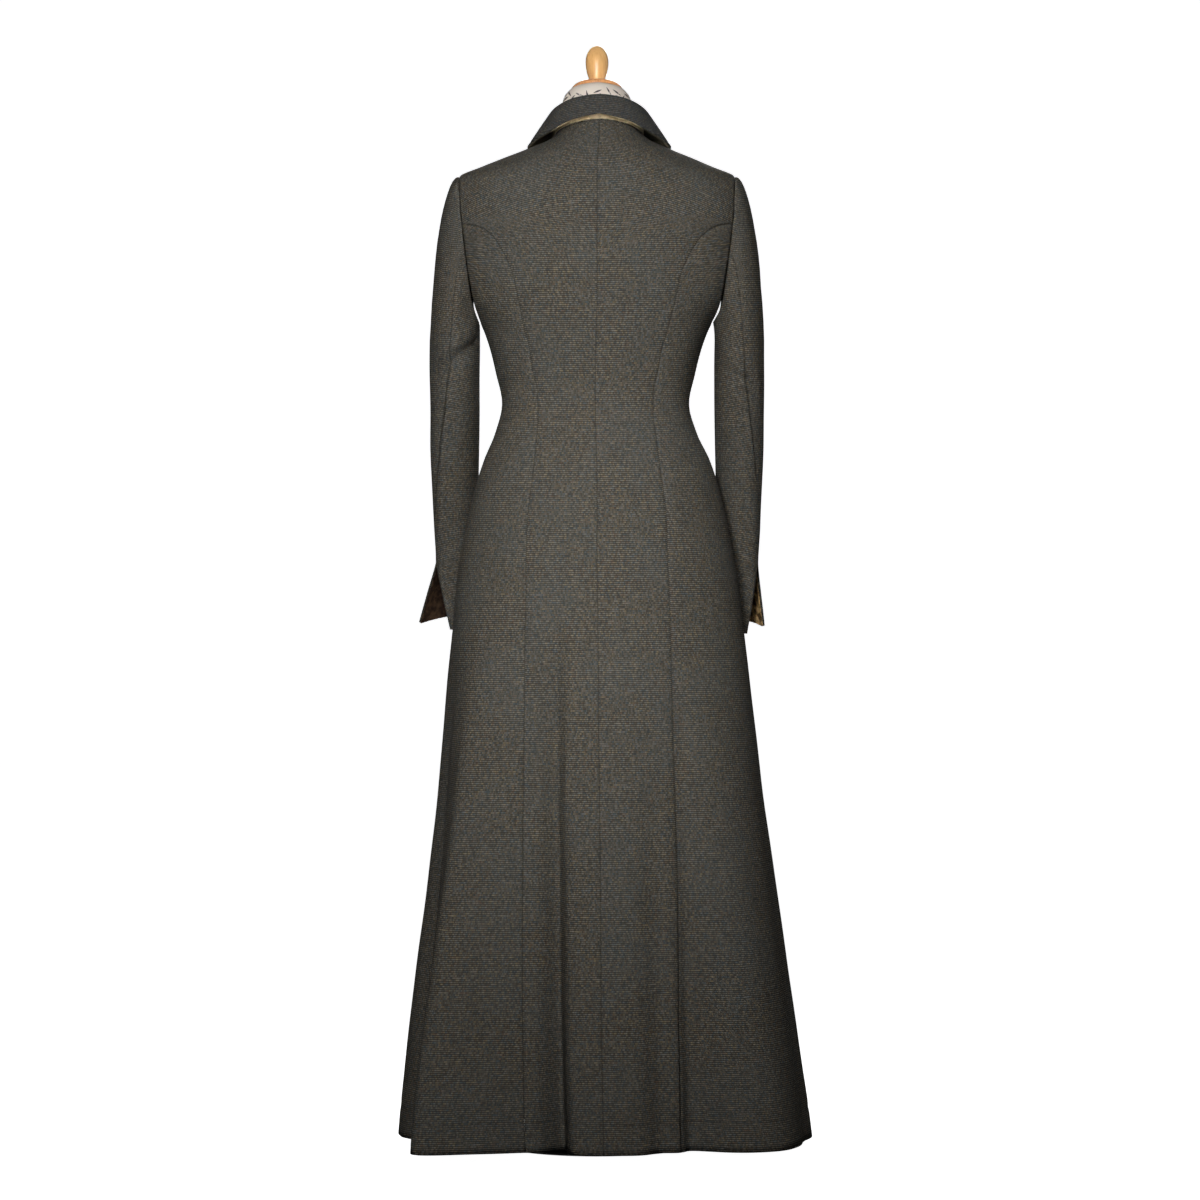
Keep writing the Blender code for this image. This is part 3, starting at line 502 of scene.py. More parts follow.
def makeVelvet(name):
    look = velvetLook
    # each piece's two colours carry its own painted light or painted shade
    dark, light = look[name]
    material, start, shader = startMaterial(
        f"velvet_painted_lighting_{name}", Roughness=0.75, Specular_IOR_Level=0.15, Sheen_Weight=0.25, Sheen_Tint=light)
    place = start.node("ShaderNodeTexCoord", out=3)
    warp = place.noise(look["warpScale"]) * look["warp"]
    crushed = place.node("ShaderNodeVectorMath", {"operation": "ADD"}, {0: place, 1: warp})
    pile = crushed.noise(look["crush"], 3.0, 0.62)
    fine = place.noise(look["fineScale"], 1.0)
    colour = (pile.clamped(0.36, 0.70) * 0.85 + (fine - 0.5) * 0.3).blend(dark, light)
    if name == "under_collar":
        # painted shadow at the strip's ends
        x, _, _ = place.parts()
        colour = x.maths("ABSOLUTE", x).clamped(*look["paintedShadowFrom"]).blend(colour, look["paintedEndShadow"])
    connect(colour, shader, "Base Color")
    bumpFrom(pile, shader, look["relief"])
    return material


woodLook = {
    "finial": (rgb(0.95, 0.56, 0.22), rgb(0.80, 0.40, 0.125), 0.30),
    "neck_cap": (rgb(0.90, 0.42, 0.155), rgb(0.62, 0.25, 0.085), 0.36),
    # scales across the grain and along it
    "bow": (40.0, 14.0),
    "bowShift": 3.0,
    "grain": (420.0, 22.0),
    "relief": 0.00006,
}


def makeWood(name):
    light, dark, roughness = woodLook[name]
    material, start, shader = startMaterial(f"beech_{name}", Roughness=roughness, Coat_Weight=0.25)
    x, y, z = start.node("ShaderNodeTexCoord", out=3).parts()
    across, along = woodLook["bow"]
    bow = start.together(x * across, y * across, z * along).noise(1.0)
    across, along = woodLook["grain"]
    shift = bow * woodLook["bowShift"]
    grain = start.together(x * across + shift, y * across, z * along).noise(1.0, 3.0, 0.6)
    tone = grain.clamped(0.44, 0.70) * 0.6 + bow.clamped(0.40, 0.70) * 0.25
    connect(tone.blend(light, dark), shader, "Base Color")
    bumpFrom(grain, shader, woodLook["relief"])
    return material


def makeSteel():
    material, start, shader = startMaterial(
        "stand_steel", Roughness=0.32, Metallic=1.0, Base_Color=rgb(0.55, 0.55, 0.56))
    x, y, z = start.node("ShaderNodeTexCoord", out=3).parts()
    brushed = start.together(x * 60.0, y * 60.0, z * 900.0).noise(1.0)
    connect(brushed * 0.12 + 0.26, shader, "Roughness")
    return material


coverLook = {
    "cloth": rgb(0.80, 0.71, 0.62),
    "weft": rgb(0.66, 0.58, 0.49),
    "weftShare": 0.25,
    "print": rgb(0.020, 0.012, 0.020),
    "printShare": 0.9,
    "repeat": 0.082,
    "rise": 0.034,
    "rowShift": 0.37,
    "neck": 0.0522,
    "weaveScale": 1400.0,
    "wornScale": 160.0,
    "relief": 0.00008,
    # leaves of one sprig: place in the repeat, half length, half width, turn in degrees
    "leaves": ((0.05, 0.45, 0.100, 0.020, 35.0), (0.16, 0.66, 0.085, 0.016, -20.0),
               (0.34, 0.50, 0.100, 0.018, 70.0), (0.50, 0.55, 0.100, 0.017, 20.0),
               (0.66, 0.42, 0.090, 0.017, -40.0), (0.78, 0.64, 0.100, 0.018, 30.0),
               (0.88, 0.45, 0.110, 0.021, -15.0), (0.95, 0.68, 0.080, 0.017, 60.0)),
    "leafPoint": 2.5,
    "leafFade": 0.18,
}


def makeCover():
    look = coverLook
    material, start, shader = startMaterial("form_cover", Roughness=0.8, Specular_IOR_Level=0.2)
    place = start.node("ShaderNodeTexCoord", out=3)
    x, y, z = place.parts()
    column = x.maths("ARCTAN2", x, y) * look["neck"] / look["repeat"]
    level = z / look["rise"]
    shifted = column + level.floor() * look["rowShift"]
    u, v = shifted - shifted.floor(), level - level.floor()
    stretch = look["repeat"] / look["rise"]
    ink = None
    for cx, cy, long, wide, tilt in look["leaves"]:
        c, s = math.cos(math.radians(tilt)), math.sin(math.radians(tilt))
        dx, dy = (u - cx) * stretch, v - cy
        along = (dx * c + dy * s) / (long * stretch)
        aside = (dy * c - dx * s) / (wide * stretch)
        # a leaf is an ellipse that narrows to a point
        shape = 1.0 - (along * along + aside * aside * (1.0 + along * along * look["leafPoint"]))
        leaf = shape.clamped(0.0, look["leafFade"])
        ink = leaf if ink is None else ink.maths("MAXIMUM", ink, leaf)
    weave = place.noise(look["weaveScale"], 1.0)
    worn = place.noise(look["wornScale"]).clamped(0.25, 0.45)
    cloth = (weave * look["weftShare"]).blend(look["cloth"], look["weft"])
    connect((ink * worn * look["printShare"]).blend(cloth, look["print"]), shader, "Base Color")
    bumpFrom(weave, shader, look["relief"])
    return material


materials = {name: makeTweed(name) for name in ("tweed", "tweed_collar_painted_shade")}
materials |= {name: makeVelvet(name) for name in ("under_collar", "cuff_facing_left", "cuff_facing_right")}
materials |= {name: makeWood(name) for name in ("finial", "neck_cap")}
materials |= {"steel": makeSteel(), "cover": makeCover()}
print("materials made")


# What the pieces were cut from: width and length of the flat piece and its area, in metres
flatCuts = {
    "top_collar": (0.65, 0.12, 0.037),
    "under_collar": (0.65, 0.12, 0.035),
}
for kind, left, right in (
    ("centre_back", (0.25, 1.49, 0.175), (0.24, 1.48, 0.160)),
    ("side_back", (0.39, 1.30, 0.253), (0.34, 1.30, 0.239)),
    ("side_front", (0.31, 1.31, 0.230), (0.31, 1.32, 0.232)),
    ("centre_front", (0.31, 1.49, 0.183), (0.30, 1.48, 0.183)),
    ("top_sleeve", (0.35, 0.64, 0.085), (0.35, 0.64, 0.085)),
    ("under_sleeve", (0.19, 0.56, 0.053), (0.19, 0.56, 0.054)),
    ("cuff_facing", (0.10, 0.17, 0.010), (0.10, 0.17, 0.010)),
):
    flatCuts |= {f"{kind}_left": left, f"{kind}_right": right}


def addObject(name, data):
    made = bpy.data.objects.new(name, data)
    bpy.context.scene.collection.objects.link(made)
    return made


def meshFrom(name, builder):
    mesh = bpy.data.meshes.new(name)
    builder.to_mesh(mesh)
    builder.free()
    return mesh


def gridMesh(name, points, facing):
    # a sheet from a flat grid of faces laid on its points, whose vertices come row by row
    builder = bmesh.new()
    bmesh.ops.create_grid(builder, x_segments=points.shape[1] - 1, y_segments=points.shape[0] - 1, size=0.5)
    for vertex, point in zip(builder.verts, points.reshape(-1, 3)):
        vertex.co = point
    if facing < 0:
        bmesh.ops.reverse_faces(builder, faces=builder.faces[:])
    mesh = meshFrom(name, builder)
    mesh.shade_smooth()
    return mesh


# The weave doesn't repeat from the left pieces to the right ones
weaveShift = 0.53


def addCutMap(mesh, points, level, levelThreads):
    # lays the cloth's threads on the piece: metres across from its middle and up from a level row
    run, up = pathLengths(points, 1), pathLengths(points, 0)
    across = run - run[:, -1:] / 2
    # how far each point lies from the side seams and from the lower edge
    fromSeam, fromHem = (across[:, -1:] - across[:, :1]) / 2 - np.abs(across), up
    if levelThreads:
        # the cross threads run level round the body, spaced along the panel's tallest column
        tallest = int(points[-1, :, 2].argmax())
        ends = np.array([-1.0, 1.0])
        heights, lengths = (np.concatenate([line[:1] + ends[:1], line, line[-1:] + ends[1:]])
                            for line in (points[:, tallest, 2], up[:, tallest]))
        # above the chest they lie evenly over the slope of the shoulder
        chest = coatBody["chest"]
        atChest = np.array([np.interp(chest, points[:, k, 2], up[:, k]) for k in range(points.shape[1])])
        over = np.where(points[..., 2] > chest, up - atChest, 0.0)
        up = np.interp(np.minimum(points[..., 2], chest), heights, lengths) + over
        up = up - up[level, points.shape[1] // 2]
    else:
        up = up - up[level]
    if points[..., 0].mean() > 0:
        across = across + weaveShift
    corners = np.zeros(len(mesh.loops), dtype=np.int32)
    mesh.loops.foreach_get("vertex_index", corners)
    for name, pair in (("cut", (across, up)), ("edges", (fromSeam, fromHem))):
        pairs = np.stack(pair, axis=2).reshape(-1, 2)[corners]
        mesh.uv_layers.new(name=name).data.foreach_set("uv", pairs.astype(np.float32).reshape(-1))


def place(made, slotName, *nodes):
    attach(made, "root")
    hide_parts(*nodes)


def clothPiece(name, points, facing, wall, material, slotName, level=0, rim=0.0,
               levelThreads=False):
    mesh = gridMesh(name, points, facing)
    addCutMap(mesh, points, level, levelThreads)
    mesh.materials.append(material)
    made = addObject(f"{name}_cloth", mesh)
    wallMaker = made.modifiers.new("wall", "SOLIDIFY")
    wallMaker.thickness = wall
    wallMaker.offset = -1.0
    if rim:
        edge = made.modifiers.new("edge", "BEVEL")
        edge.width = rim
        edge.segments = 2
        edge.limit_method = "ANGLE"
        edge.angle_limit = math.radians(60)
    place(made, slotName, name)


# The eight body panels, between the middle lines, the princess seams and the side seams
panels = {
    "levels": (0.012, 0.110, 0.210, 0.310, 0.410, 0.505, 0.595, 0.675, 0.745, 0.805, 0.857,
               0.900, 0.938, 0.970, 0.998, 1.030),
    "upperRows": 6,
    "yokeRows": 6,
    "blendRows": 4,
    "shoulderColumns": 3,
    "neckStep": 15.0,
    "armholeStep": 12.0,
    "princessAngle": 72.0,
    "upperStep": 0.045,
    "blendCurve": 1.4,
    "rowStep": 0.010,
    "columnParts": 6,
    "edge": (0.035, 0.09, 0.17),
    "groove": 0.0012,
    "grooveWidth": 0.0024,
    "hemStitch": 0.040,
    "hemStitchDepth": 0.0006,
    "hemStitchWidth": 0.0035,
    "overlap": 0.022,
    "overlapGap": 0.0018,
    "underlapStart": 0.048,
    "underlapEnd": 0.024,
}
backSeam = SizeTable((
    ("height", "out"), (0.012, 0.1030), (0.227, 0.1030), (0.379, 0.1020), (0.514, 0.0995), (0.631, 0.0975),
    (0.719, 0.0955), (0.836, 0.0930), (0.910, 0.0845), (0.998, 0.0775), (1.046, 0.0850), (1.100, 0.0970),
    (1.163, 0.1120), (1.191, 0.1225), (1.212, 0.1345), (1.226, 0.1480), (1.234, 0.1640), (1.2379, 0.1814),
))
frontSeam = SizeTable((
    ("height", "out"), (0.012, 0.1150), (0.227, 0.1130), (0.514, 0.1030), (0.719, 0.0960), (0.910, 0.0830),
    (0.998, 0.0760), (1.080, 0.0850), (1.150, 0.0950), (1.190, 0.1060), (1.213, 0.1250), (1.228, 0.1500),
    (1.2379, 0.1814),
))
armholeOut = SizeTable((
    ("height", "out"), (1.109, 0.1565), (1.130, 0.1655), (1.159, 0.1712), (1.195, 0.1765), (1.236, 0.1812),
    (1.270, 0.1845), (1.306, 0.1863),
))
waistRow = len(panels["levels"]) - 1
skirtRows = waistRow + panels["upperRows"]
lastYokeRow = skirtRows + panels["yokeRows"]


def columnOf(angles, heights):
    return np.stack([np.broadcast_to(angles, np.shape(heights)), heights], axis=-1)


def armholePlaces(side, turns):
    # the armhole from the shoulder tip at 0, round the back to the underarm at 180 and up the front
    turns = np.asarray(turns, float)
    tip, underarm = coatBody["shoulderTip"], coatBody["underarm"]
    heights = (tip + underarm) / 2 + (tip - underarm) / 2 * np.cos(np.radians(turns))
    outs = armholeOut.read("out", heights)
    behind = np.sin(np.radians(turns)) > 0
    angles = np.where(behind, angleAt(outs, heights, side, True), angleAt(outs, heights, side, False))
    angles = np.where(outs >= sections.read("halfWidth", heights), side * 90.0, angles)
    return columnOf(angles, heights)


def levelsAt(rows, top):
    # heights of rows: the levels up to the waist, then even steps to a height
    steps = np.arange(1, panels["upperRows"] + 1) / panels["upperRows"]
    known = np.concatenate([panels["levels"], mix(panels["levels"][-1], top, steps)])
    return np.interp(rows, np.arange(len(known)), known)


def seamPlaces(table, side, back, rows):
    levels = np.interp(rows, np.arange(waistRow + 1), panels["levels"])
    heights = np.linspace(panels["levels"][-1], coatBody["princessTop"], 300)
    outs = table.read("out", heights)
    run = np.concatenate([[0], np.cumsum(np.hypot(np.diff(heights), np.diff(outs)))])
    upper = np.interp(run[-1] * (rows - waistRow) / panels["upperRows"], run, heights)
    levels = np.where(rows > waistRow, upper, levels)
    return columnOf(angleAt(table.read("out", levels), levels, side, back), levels)


def middlePlaces(angleOf, join, top, rows):
    heights = levelsAt(np.minimum(rows, skirtRows), join)
    yoke = mix(join, top, (rows - skirtRows) / panels["yokeRows"])
    heights = np.where(rows > skirtRows, yoke, heights)
    return columnOf(angleOf(heights), heights)


def neckAndShoulder(side, first, columns):
    # places along the neck seam from an angle to the neck point, then down the shoulder seam
    count = int(round(abs(90.0 - first) / panels["neckStep"]))
    toward = panels["neckStep"] if first < 90.0 else -panels["neckStep"]
    angles = [first] + [90.0 - toward * (count - k) for k in range(1, count + 1)]
    angles = np.interp(columns, np.arange(count + 1), angles)
    t = np.clip((columns - count) / panels["shoulderColumns"], 0.0, 1.0)
    tip = float(sections.read("halfWidth", coatBody["shoulderTip"]))
    radius = np.where(columns > count, mix(coatBody["neckHalfWidth"], tip, t), neckRadius(angles))
    return columnOf(side * angles, heightOn(angles, radius)), count + panels["shoulderColumns"]


def patchPlaces(left, right, top, rows, columns, lastRow):
    # a panel between two columns of places, whose last rows bend to its top edge
    blendStart = lastRow - panels["yokeRows"] - (panels["blendRows"] if lastRow > skirtRows else 0)
    t = (columns / columns[-1])[None, :, None]
    rise = np.clip((rows - blendStart) / (lastRow - blendStart), 0.0, 1.0)
    weight = (rise ** panels["blendCurve"])[:, None, None]
    straight = mix(left[:, None, :], right[:, None, :], t)
    bend = top[None, :, :] - mix(top[0], top[-1], t)
    return straight + weight * bend


def pressSeams(points, normals, sides, depth, width):
    # sinks the cloth along its sewn edges, where sides are any of left, right, top, bottom
    left, right = edgeDistances(points, 1)
    bottom, top = edgeDistances(points, 0)
    away = {"left": left, "right": right, "bottom": bottom, "top": top}
    sunk = np.zeros(points.shape[:2])
    for side in sides:
        sunk = np.maximum(sunk, np.exp(-(away[side] / width) ** 2))
    return points - normals * (sunk * depth)[..., None]


def pieceName(kind, side):
    return f"{kind}_{'left' if side > 0 else 'right'}"


def makePanel(kind, side, places, sewn, heights, drop=None):
    # heights are those of the rows along one edge, because the weave is laid from the waist
    points = bodySkin(places[..., 0], places[..., 1])
    normals, facing = outerNormals(points, points * upOnly)
    points = pressSeams(points, normals, sewn, panels["groove"], panels["grooveWidth"])
    fromStitch = points[..., 2] - coatBody["hem"] - panels["hemStitch"]
    stitch = panels["hemStitchDepth"] * np.exp(-(fromStitch / panels["hemStitchWidth"]) ** 2)
    points = points - normals * stitch[..., None]
    if drop is not None:
        points = points - normals * drop[..., None]
    level = int(np.argmin(np.abs(heights - coatBody["waist"])))
    clothPiece(pieceName(kind, side), points, facing, coatBody["wall"], materials["tweed"], "tweed", level,
               levelThreads=True)


def rowNumbers(lastRow):
    levels = list(panels["levels"])
    levels += [levels[-1] + panels["upperStep"] * k for k in range(1, lastRow - waistRow + 1)]
    return spread(levels, panels["rowStep"], end=panels["edge"])


def columnNumbers(count):
    steps = np.arange(count + 1) * panels["columnParts"]
    return spread(steps, 1.0, edge=panels["edge"], end=panels["edge"])


def neckPanel(side, table, back, first, angleOf, join):
    # the places of a centre panel, from its middle line to the princess seam and the armhole above it
    _, count = neckAndShoulder(side, first, np.zeros(1))
    rows, columns = rowNumbers(lastYokeRow), columnNumbers(count)
    top, _ = neckAndShoulder(side, first, columns)
    left = middlePlaces(angleOf, join, top[0, 1], rows)
    seam = seamPlaces(table, side, back, np.minimum(rows, skirtRows))
    turns = panels["princessAngle"] * np.clip(1 - (rows - skirtRows) / panels["yokeRows"], 0.0, 1.0)
    armhole = armholePlaces(side, turns if back else 360.0 - turns)
    right = np.where((rows > skirtRows)[:, None], armhole, seam)
    return patchPlaces(left, right, top, rows, columns, lastYokeRow), left[:, 1]


def centreBack(side):
    places, heights = neckPanel(side, backSeam, True, 0.0, lambda heights: 0.0, coatBody["princessTop"])
    makePanel("centre_back", side, places, ("left", "right", "top"), heights)


def sidePanel(side, back):
    first = panels["princessAngle"] if back else 360.0 - panels["princessAngle"]
    count = int(round(abs(180.0 - first) / panels["armholeStep"]))
    rows, columns = rowNumbers(skirtRows), columnNumbers(count)
    top = armholePlaces(side, mix(first, 180.0, columns / count))
    left = seamPlaces(backSeam if back else frontSeam, side, back, rows)
    right = columnOf(side * 90.0, levelsAt(rows, coatBody["underarm"]))
    places = patchPlaces(left, right, top, rows, columns, skirtRows)
    makePanel("side_back" if back else "side_front", side, places, ("left", "right", "top"), right[:, 1])


def centreFront(side):
    def edgeAngle(heights):
        return side * (180.0 + np.degrees(np.arcsin(panels["overlap"] / plainRadius(180.0, heights))))

    first = abs(float(edgeAngle(coatBody["frontNeck"])))
    places, heights = neckPanel(side, frontSeam, False, first, edgeAngle, coatBody["frontJoin"])
    drop = None
    if side > 0:
        # the left front lies under the right one's overlap
        plain = bodySkin(places[..., 0], places[..., 1], False)
        across = plain[..., 0] - sections.read("centre", places[..., 1])
        start, end = panels["underlapStart"], panels["underlapEnd"]
        drop = smoothStep((start - across) / (start - end)) * (coatBody["wall"] + panels["overlapGap"])
    makePanel("centre_front", side, places, ("right", "top"), heights, drop)


for side in (1, -1):
    centreBack(side)
    sidePanel(side, True)
    sidePanel(side, False)
    centreFront(side)
print("body panels made")


# Sleeves below their caps, for the wearer's left: 0 is the outer side and 90 the back
sleeves = {
    "wall": 0.0025,
    "start": 0.00036,
    "capRows": 5,
    "capReach": 0.78,
    "capDrop": 0.07,
    "hindarm": 96.0,
    "forearm": 228.0,
    "ventTop": 0.788,
    "ventFrontEnd": -90.0,
    "rowStep": 0.007,
    "capRise": 0.02,
    "creaseRadius": 0.045,
    "creaseStart": 0.15,
    "creaseGrowth": 0.5,
    "softness": 0.0008,
    "softRadius": 0.09,
    "softStretch": 1.2,
    "groove": 0.0009,
    "grooveWidth": 0.0022,
    "ease": 0.0011,
    "easeAt": 0.10,
    "easeReach": 0.12,
    "easeWaves": (13.0, 0.6, 5.0),
    "easeWidth": 1.4,
    "levelTravel": 1.2,
    "crush": 0.0004,
    "crushWaves": (260.0, 9.0, 90.0),
    "facingColumns": 13,
    "facingRows": 3,
    "facingWall": 0.0012,
    "gap": 0.0003,
    "cuffs": {
        1: {"flareOut": 0.0220, "flareForward": 0.0120, "opening": 106.0, "raise": 0.0050},
        -1: {"flareOut": 0.0075, "flareForward": 0.0060, "opening": 97.0, "raise": 0.0},
    },
    "openingCurve": 0.65,
    "cuffSlope": 0.25,
}
arm = SizeTable((
    ("height", "out", "back", "halfWidth", "halfDepth", "yaw", "hindarm"),
    (0.700, 0.1950, -0.1060, 0.0265, 0.0475, 24.0, 14.0),
    (0.745, 0.1925, -0.0935, 0.0265, 0.0475, 22.0, 20.0),
    (0.788, 0.1905, -0.0800, 0.0268, 0.0480, 19.0, 28.0),
    (0.835, 0.1920, -0.0635, 0.0280, 0.0490, 16.0, 44.0),
    (0.890, 0.1925, -0.0430, 0.0300, 0.0505, 13.0, 58.0),
    (0.950, 0.1925, -0.0230, 0.0325, 0.0525, 8.0, 68.0),
    (1.015, 0.1920, -0.0060, 0.0335, 0.0555, 2.0, 76.0),
    (1.085, 0.1920, -0.0010, 0.0335, 0.0595, 0.0, 84.0),
))
sleeveCreases = {
    1: rowsOf((
        ("turn", "height", "toTurn", "toHeight", "width", "depth"),
        (46.0, 1.040, 152.0, 1.078, 0.0076, -0.0092),
        (60.0, 1.066, 140.0, 1.098, 0.0110, 0.0030),
        (104.0, 1.116, 166.0, 1.138, 0.0120, -0.0046),
        (88.0, 0.985, 130.0, 1.000, 0.0070, -0.0022),
        (60.0, 0.925, 104.0, 0.944, 0.0080, -0.0019),
        (250.0, 1.000, 300.0, 1.020, 0.0070, -0.0037),
        (246.0, 1.030, 286.0, 1.046, 0.0060, -0.0031),
        (256.0, 0.962, 296.0, 0.972, 0.0080, -0.0027),
        (200.0, 1.010, 236.0, 1.028, 0.0070, -0.0024),
    )),
    -1: rowsOf((
        ("turn", "height", "toTurn", "toHeight", "width", "depth"),
        (58.0, 1.018, 142.0, 1.050, 0.0080, -0.0058),
        (106.0, 1.100, 168.0, 1.124, 0.0120, -0.0044),
        (86.0, 0.972, 126.0, 0.990, 0.0075, -0.0022),
        (62.0, 0.905, 100.0, 0.930, 0.0080, -0.0017),
        (248.0, 0.994, 302.0, 1.008, 0.0070, -0.0034),
        (252.0, 1.024, 290.0, 1.044, 0.0060, -0.0029),
        (258.0, 0.950, 300.0, 0.964, 0.0080, -0.0024),
        (204.0, 1.004, 240.0, 1.016, 0.0070, -0.0022),
    )),
}
bicep = float(arm.keys[-1])
cuffHeight = float(arm.keys[0])
ventLength = sleeves["ventTop"] - cuffHeight


def ventTravel(height):
    return np.clip((sleeves["ventTop"] - height) / ventLength, 0.0, None)


def armHeight(travel):
    return bicep - np.clip(travel - 1, 0.0, None)


def armRing(side, turn, height, flared):
    angle = np.radians(turn)
    out = arm.read("halfWidth", height) * np.cos(angle)
    back = arm.read("halfDepth", height) * np.sin(angle)
    yaw = np.radians(arm.read("yaw", height))
    x = arm.read("out", height) + out * np.cos(yaw) + back * np.sin(yaw)
    forward = out * np.sin(yaw) - back * np.cos(yaw)
    y = arm.read("back", height) - forward
    cuff = sleeves["cuffs"][side]
    down = ventTravel(height)
    z = height + (cuff["raise"] + sleeves["cuffSlope"] * forward) * down
    if flared:
        # the vent's front flap turns out below its top
        front = sleeves["ventFrontEnd"]
        along = np.clip((wrapped(turn) - front) / (arm.read("hindarm", height) - front), 0.0, None) ** 2
        x = x + cuff["flareOut"] * along * down
        y = y - cuff["flareForward"] * along * down
    return np.stack([side * x, y, z], axis=-1)


def sleeveSkin(side, turn, travel, flared):
    # travel is 0 at the armhole, 1 at the end of the cap, and then falls with height
    turn, travel = np.broadcast_arrays(np.asarray(turn, float), np.asarray(travel, float))
    below = armRing(side, turn, armHeight(travel), flared)
    seat = armholePlaces(side, (turn % 360.0).reshape(-1)).reshape(turn.shape + (2,))
    start = bodySkin(seat[..., 0], seat[..., 1]) + np.array([side * sleeves["start"], 0.0, 0.0])
    end = armRing(side, turn, np.full(turn.shape, bicep), False)
    bend = mix(start, end, sleeves["capReach"])
    bend[..., 2] = mix(start[..., 2], end[..., 2], sleeves["capDrop"])
    t = travel[..., None]
    cap = mix(mix(start, bend, t), mix(bend, end, t), t)
    return np.where(t > 1, below, cap)


def sleeveTravels():
    rows, rise = sleeves["capRows"], sleeves["capRise"]
    below = [bicep - height for height in reversed(arm.keys)]
    levels = [rise * k for k in range(rows)] + [rise * rows + drop for drop in below]
    travels = [k / rows for k in range(rows)] + [1 + drop for drop in below]
    numbers = spread(levels, sleeves["rowStep"], edge=(0.05, 0.12, 0.22), end=(0.02, 0.05))
    return np.interp(numbers, np.arange(len(travels)), travels)


def backSeamTurn(travels):
    return mix(sleeves["hindarm"], arm.read("hindarm", armHeight(travels)), np.minimum(travels, 1.0))


def sleeveFolds(side, turns, points, travels):
    around = turns % 360.0
    swept = np.radians(around)
    shape = creaseShape(sleeveCreases[side], around, points[..., 2], sleeves["creaseRadius"])
    soft = softness(swept * sleeves["softRadius"] + side, points[..., 2] * sleeves["softStretch"])
    grown = smoothStep((travels - sleeves["creaseStart"]) / sleeves["creaseGrowth"])[:, None]
    # the cap's fullness, eased into the armhole
    near = np.exp(-((travels - sleeves["easeAt"]) / sleeves["easeReach"]) ** 2)[:, None]
    upper = np.clip(np.cos(swept) * sleeves["easeWidth"], 0.0, 1.0)
    often, swing, slow = sleeves["easeWaves"]
    waves = np.sin(swept * often + swing * np.sin(swept * slow))
    return (shape + sleeves["softness"] * soft) * grown + sleeves["ease"] * near * upper * waves


def sleevePiece(kind, side, first, last, count, flared, sewn):
    # a piece between two turns at each travel, on the sleeve's own skin
    travels = sleeveTravels()
    columns = columnNumbers(count) / count
    turns = mix(first(travels)[:, None], last, columns[None, :])
    points = sleeveSkin(side, turns, travels[:, None], flared)
    height = points[..., 2]
    centre = np.stack([side * arm.read("out", height), arm.read("back", height), height], axis=-1)
    normals, facing = outerNormals(points, centre)
    points = points + normals * sleeveFolds(side, turns, points, travels)[..., None]
    points = pressSeams(points, normals, sewn, sleeves["groove"], sleeves["grooveWidth"])
    level = int(np.argmin(np.abs(travels - sleeves["levelTravel"])))
    clothPiece(pieceName(kind, side), points, facing, sleeves["wall"], materials["tweed"], "tweed", level)
    return travels, columns, points, normals, facing


def topSleeve(side):
    end = sleeves["forearm"] - 360.0
    count = int(round((sleeves["hindarm"] - end) / panels["armholeStep"]))
    travels, columns, points, normals, facing = sleevePiece(
        "top_sleeve", side, backSeamTurn, end, count, True, ("bottom", "right"))
    # the velvet inside the vent's front flap lies on the sleeve's own points, a little crushed
    rows = travels >= 1 + bicep - float(arm.keys[sleeves["facingRows"]])
    used = columns <= sleeves["facingColumns"] / count
    points, normals = points[rows][:, used], normals[rows][:, used]
    inner = points - normals * (sleeves["wall"] + sleeves["gap"])
    often, swing, slow = sleeves["crushWaves"]
    crush = sleeves["crush"] * np.abs(np.sin(inner[..., 2] * often + swing * np.sin(inner[..., 0] * slow)))
    name = pieceName("cuff_facing", side)
    clothPiece(name, inner - normals * crush[..., None], facing, sleeves["facingWall"], materials[name],
               "velvet", 0)


def underSleeve(side):
    def edgeTurn(travels):
        down = ventTravel(armHeight(travels)) ** sleeves["openingCurve"]
        return backSeamTurn(travels) + sleeves["cuffs"][side]["opening"] * down

    count = int(round((sleeves["forearm"] - sleeves["hindarm"]) / panels["armholeStep"]))
    sleevePiece("under_sleeve", side, edgeTurn, sleeves["forearm"], count, False, ("bottom", "left", "right"))


for side in (1, -1):
    topSleeve(side)
    underSleeve(side)
print("sleeves made")


# The collar: up the inside of the stand, over the roll and down the fall
collarCut = {
    "end": 165.0,
    "columns": 22,
    "rows": 8,
    "parts": 6,
    "seat": 0.0029,
    "lean": 0.0045,
    "roll": 0.0072,
    "fallBend": 0.48,
    "wall": 0.0015,
    "gap": 0.0003,
    "rim": 0.0004,
    "edge": (0.955, 0.965, 0.975, 0.985, 0.993),
    "stitch": 0.0042,
    "stitchWidth": 0.0011,
    "stitchDepth": 0.0007,
    "stitchStart": 0.5,
    "stitchFade": 0.1,
}
collarShape = SizeTable((
    ("angle", "gap", "stand", "reach", "rise"),
    (0.0, 0.0002, 0.0330, 0.0160, 0.0285),
    (30.0, 0.0002, 0.0330, 0.0180, 0.0240),
    (60.0, 0.0003, 0.0315, 0.0260, 0.0130),
    (90.0, 0.0004, 0.0300, 0.0360, 0.0060),
    (115.0, 0.0007, 0.0245, 0.0415, 0.0110),
    (140.0, 0.0009, 0.0185, 0.0455, 0.0175),
    (165.0, 0.0009, 0.0135, 0.0500, 0.0220),
))


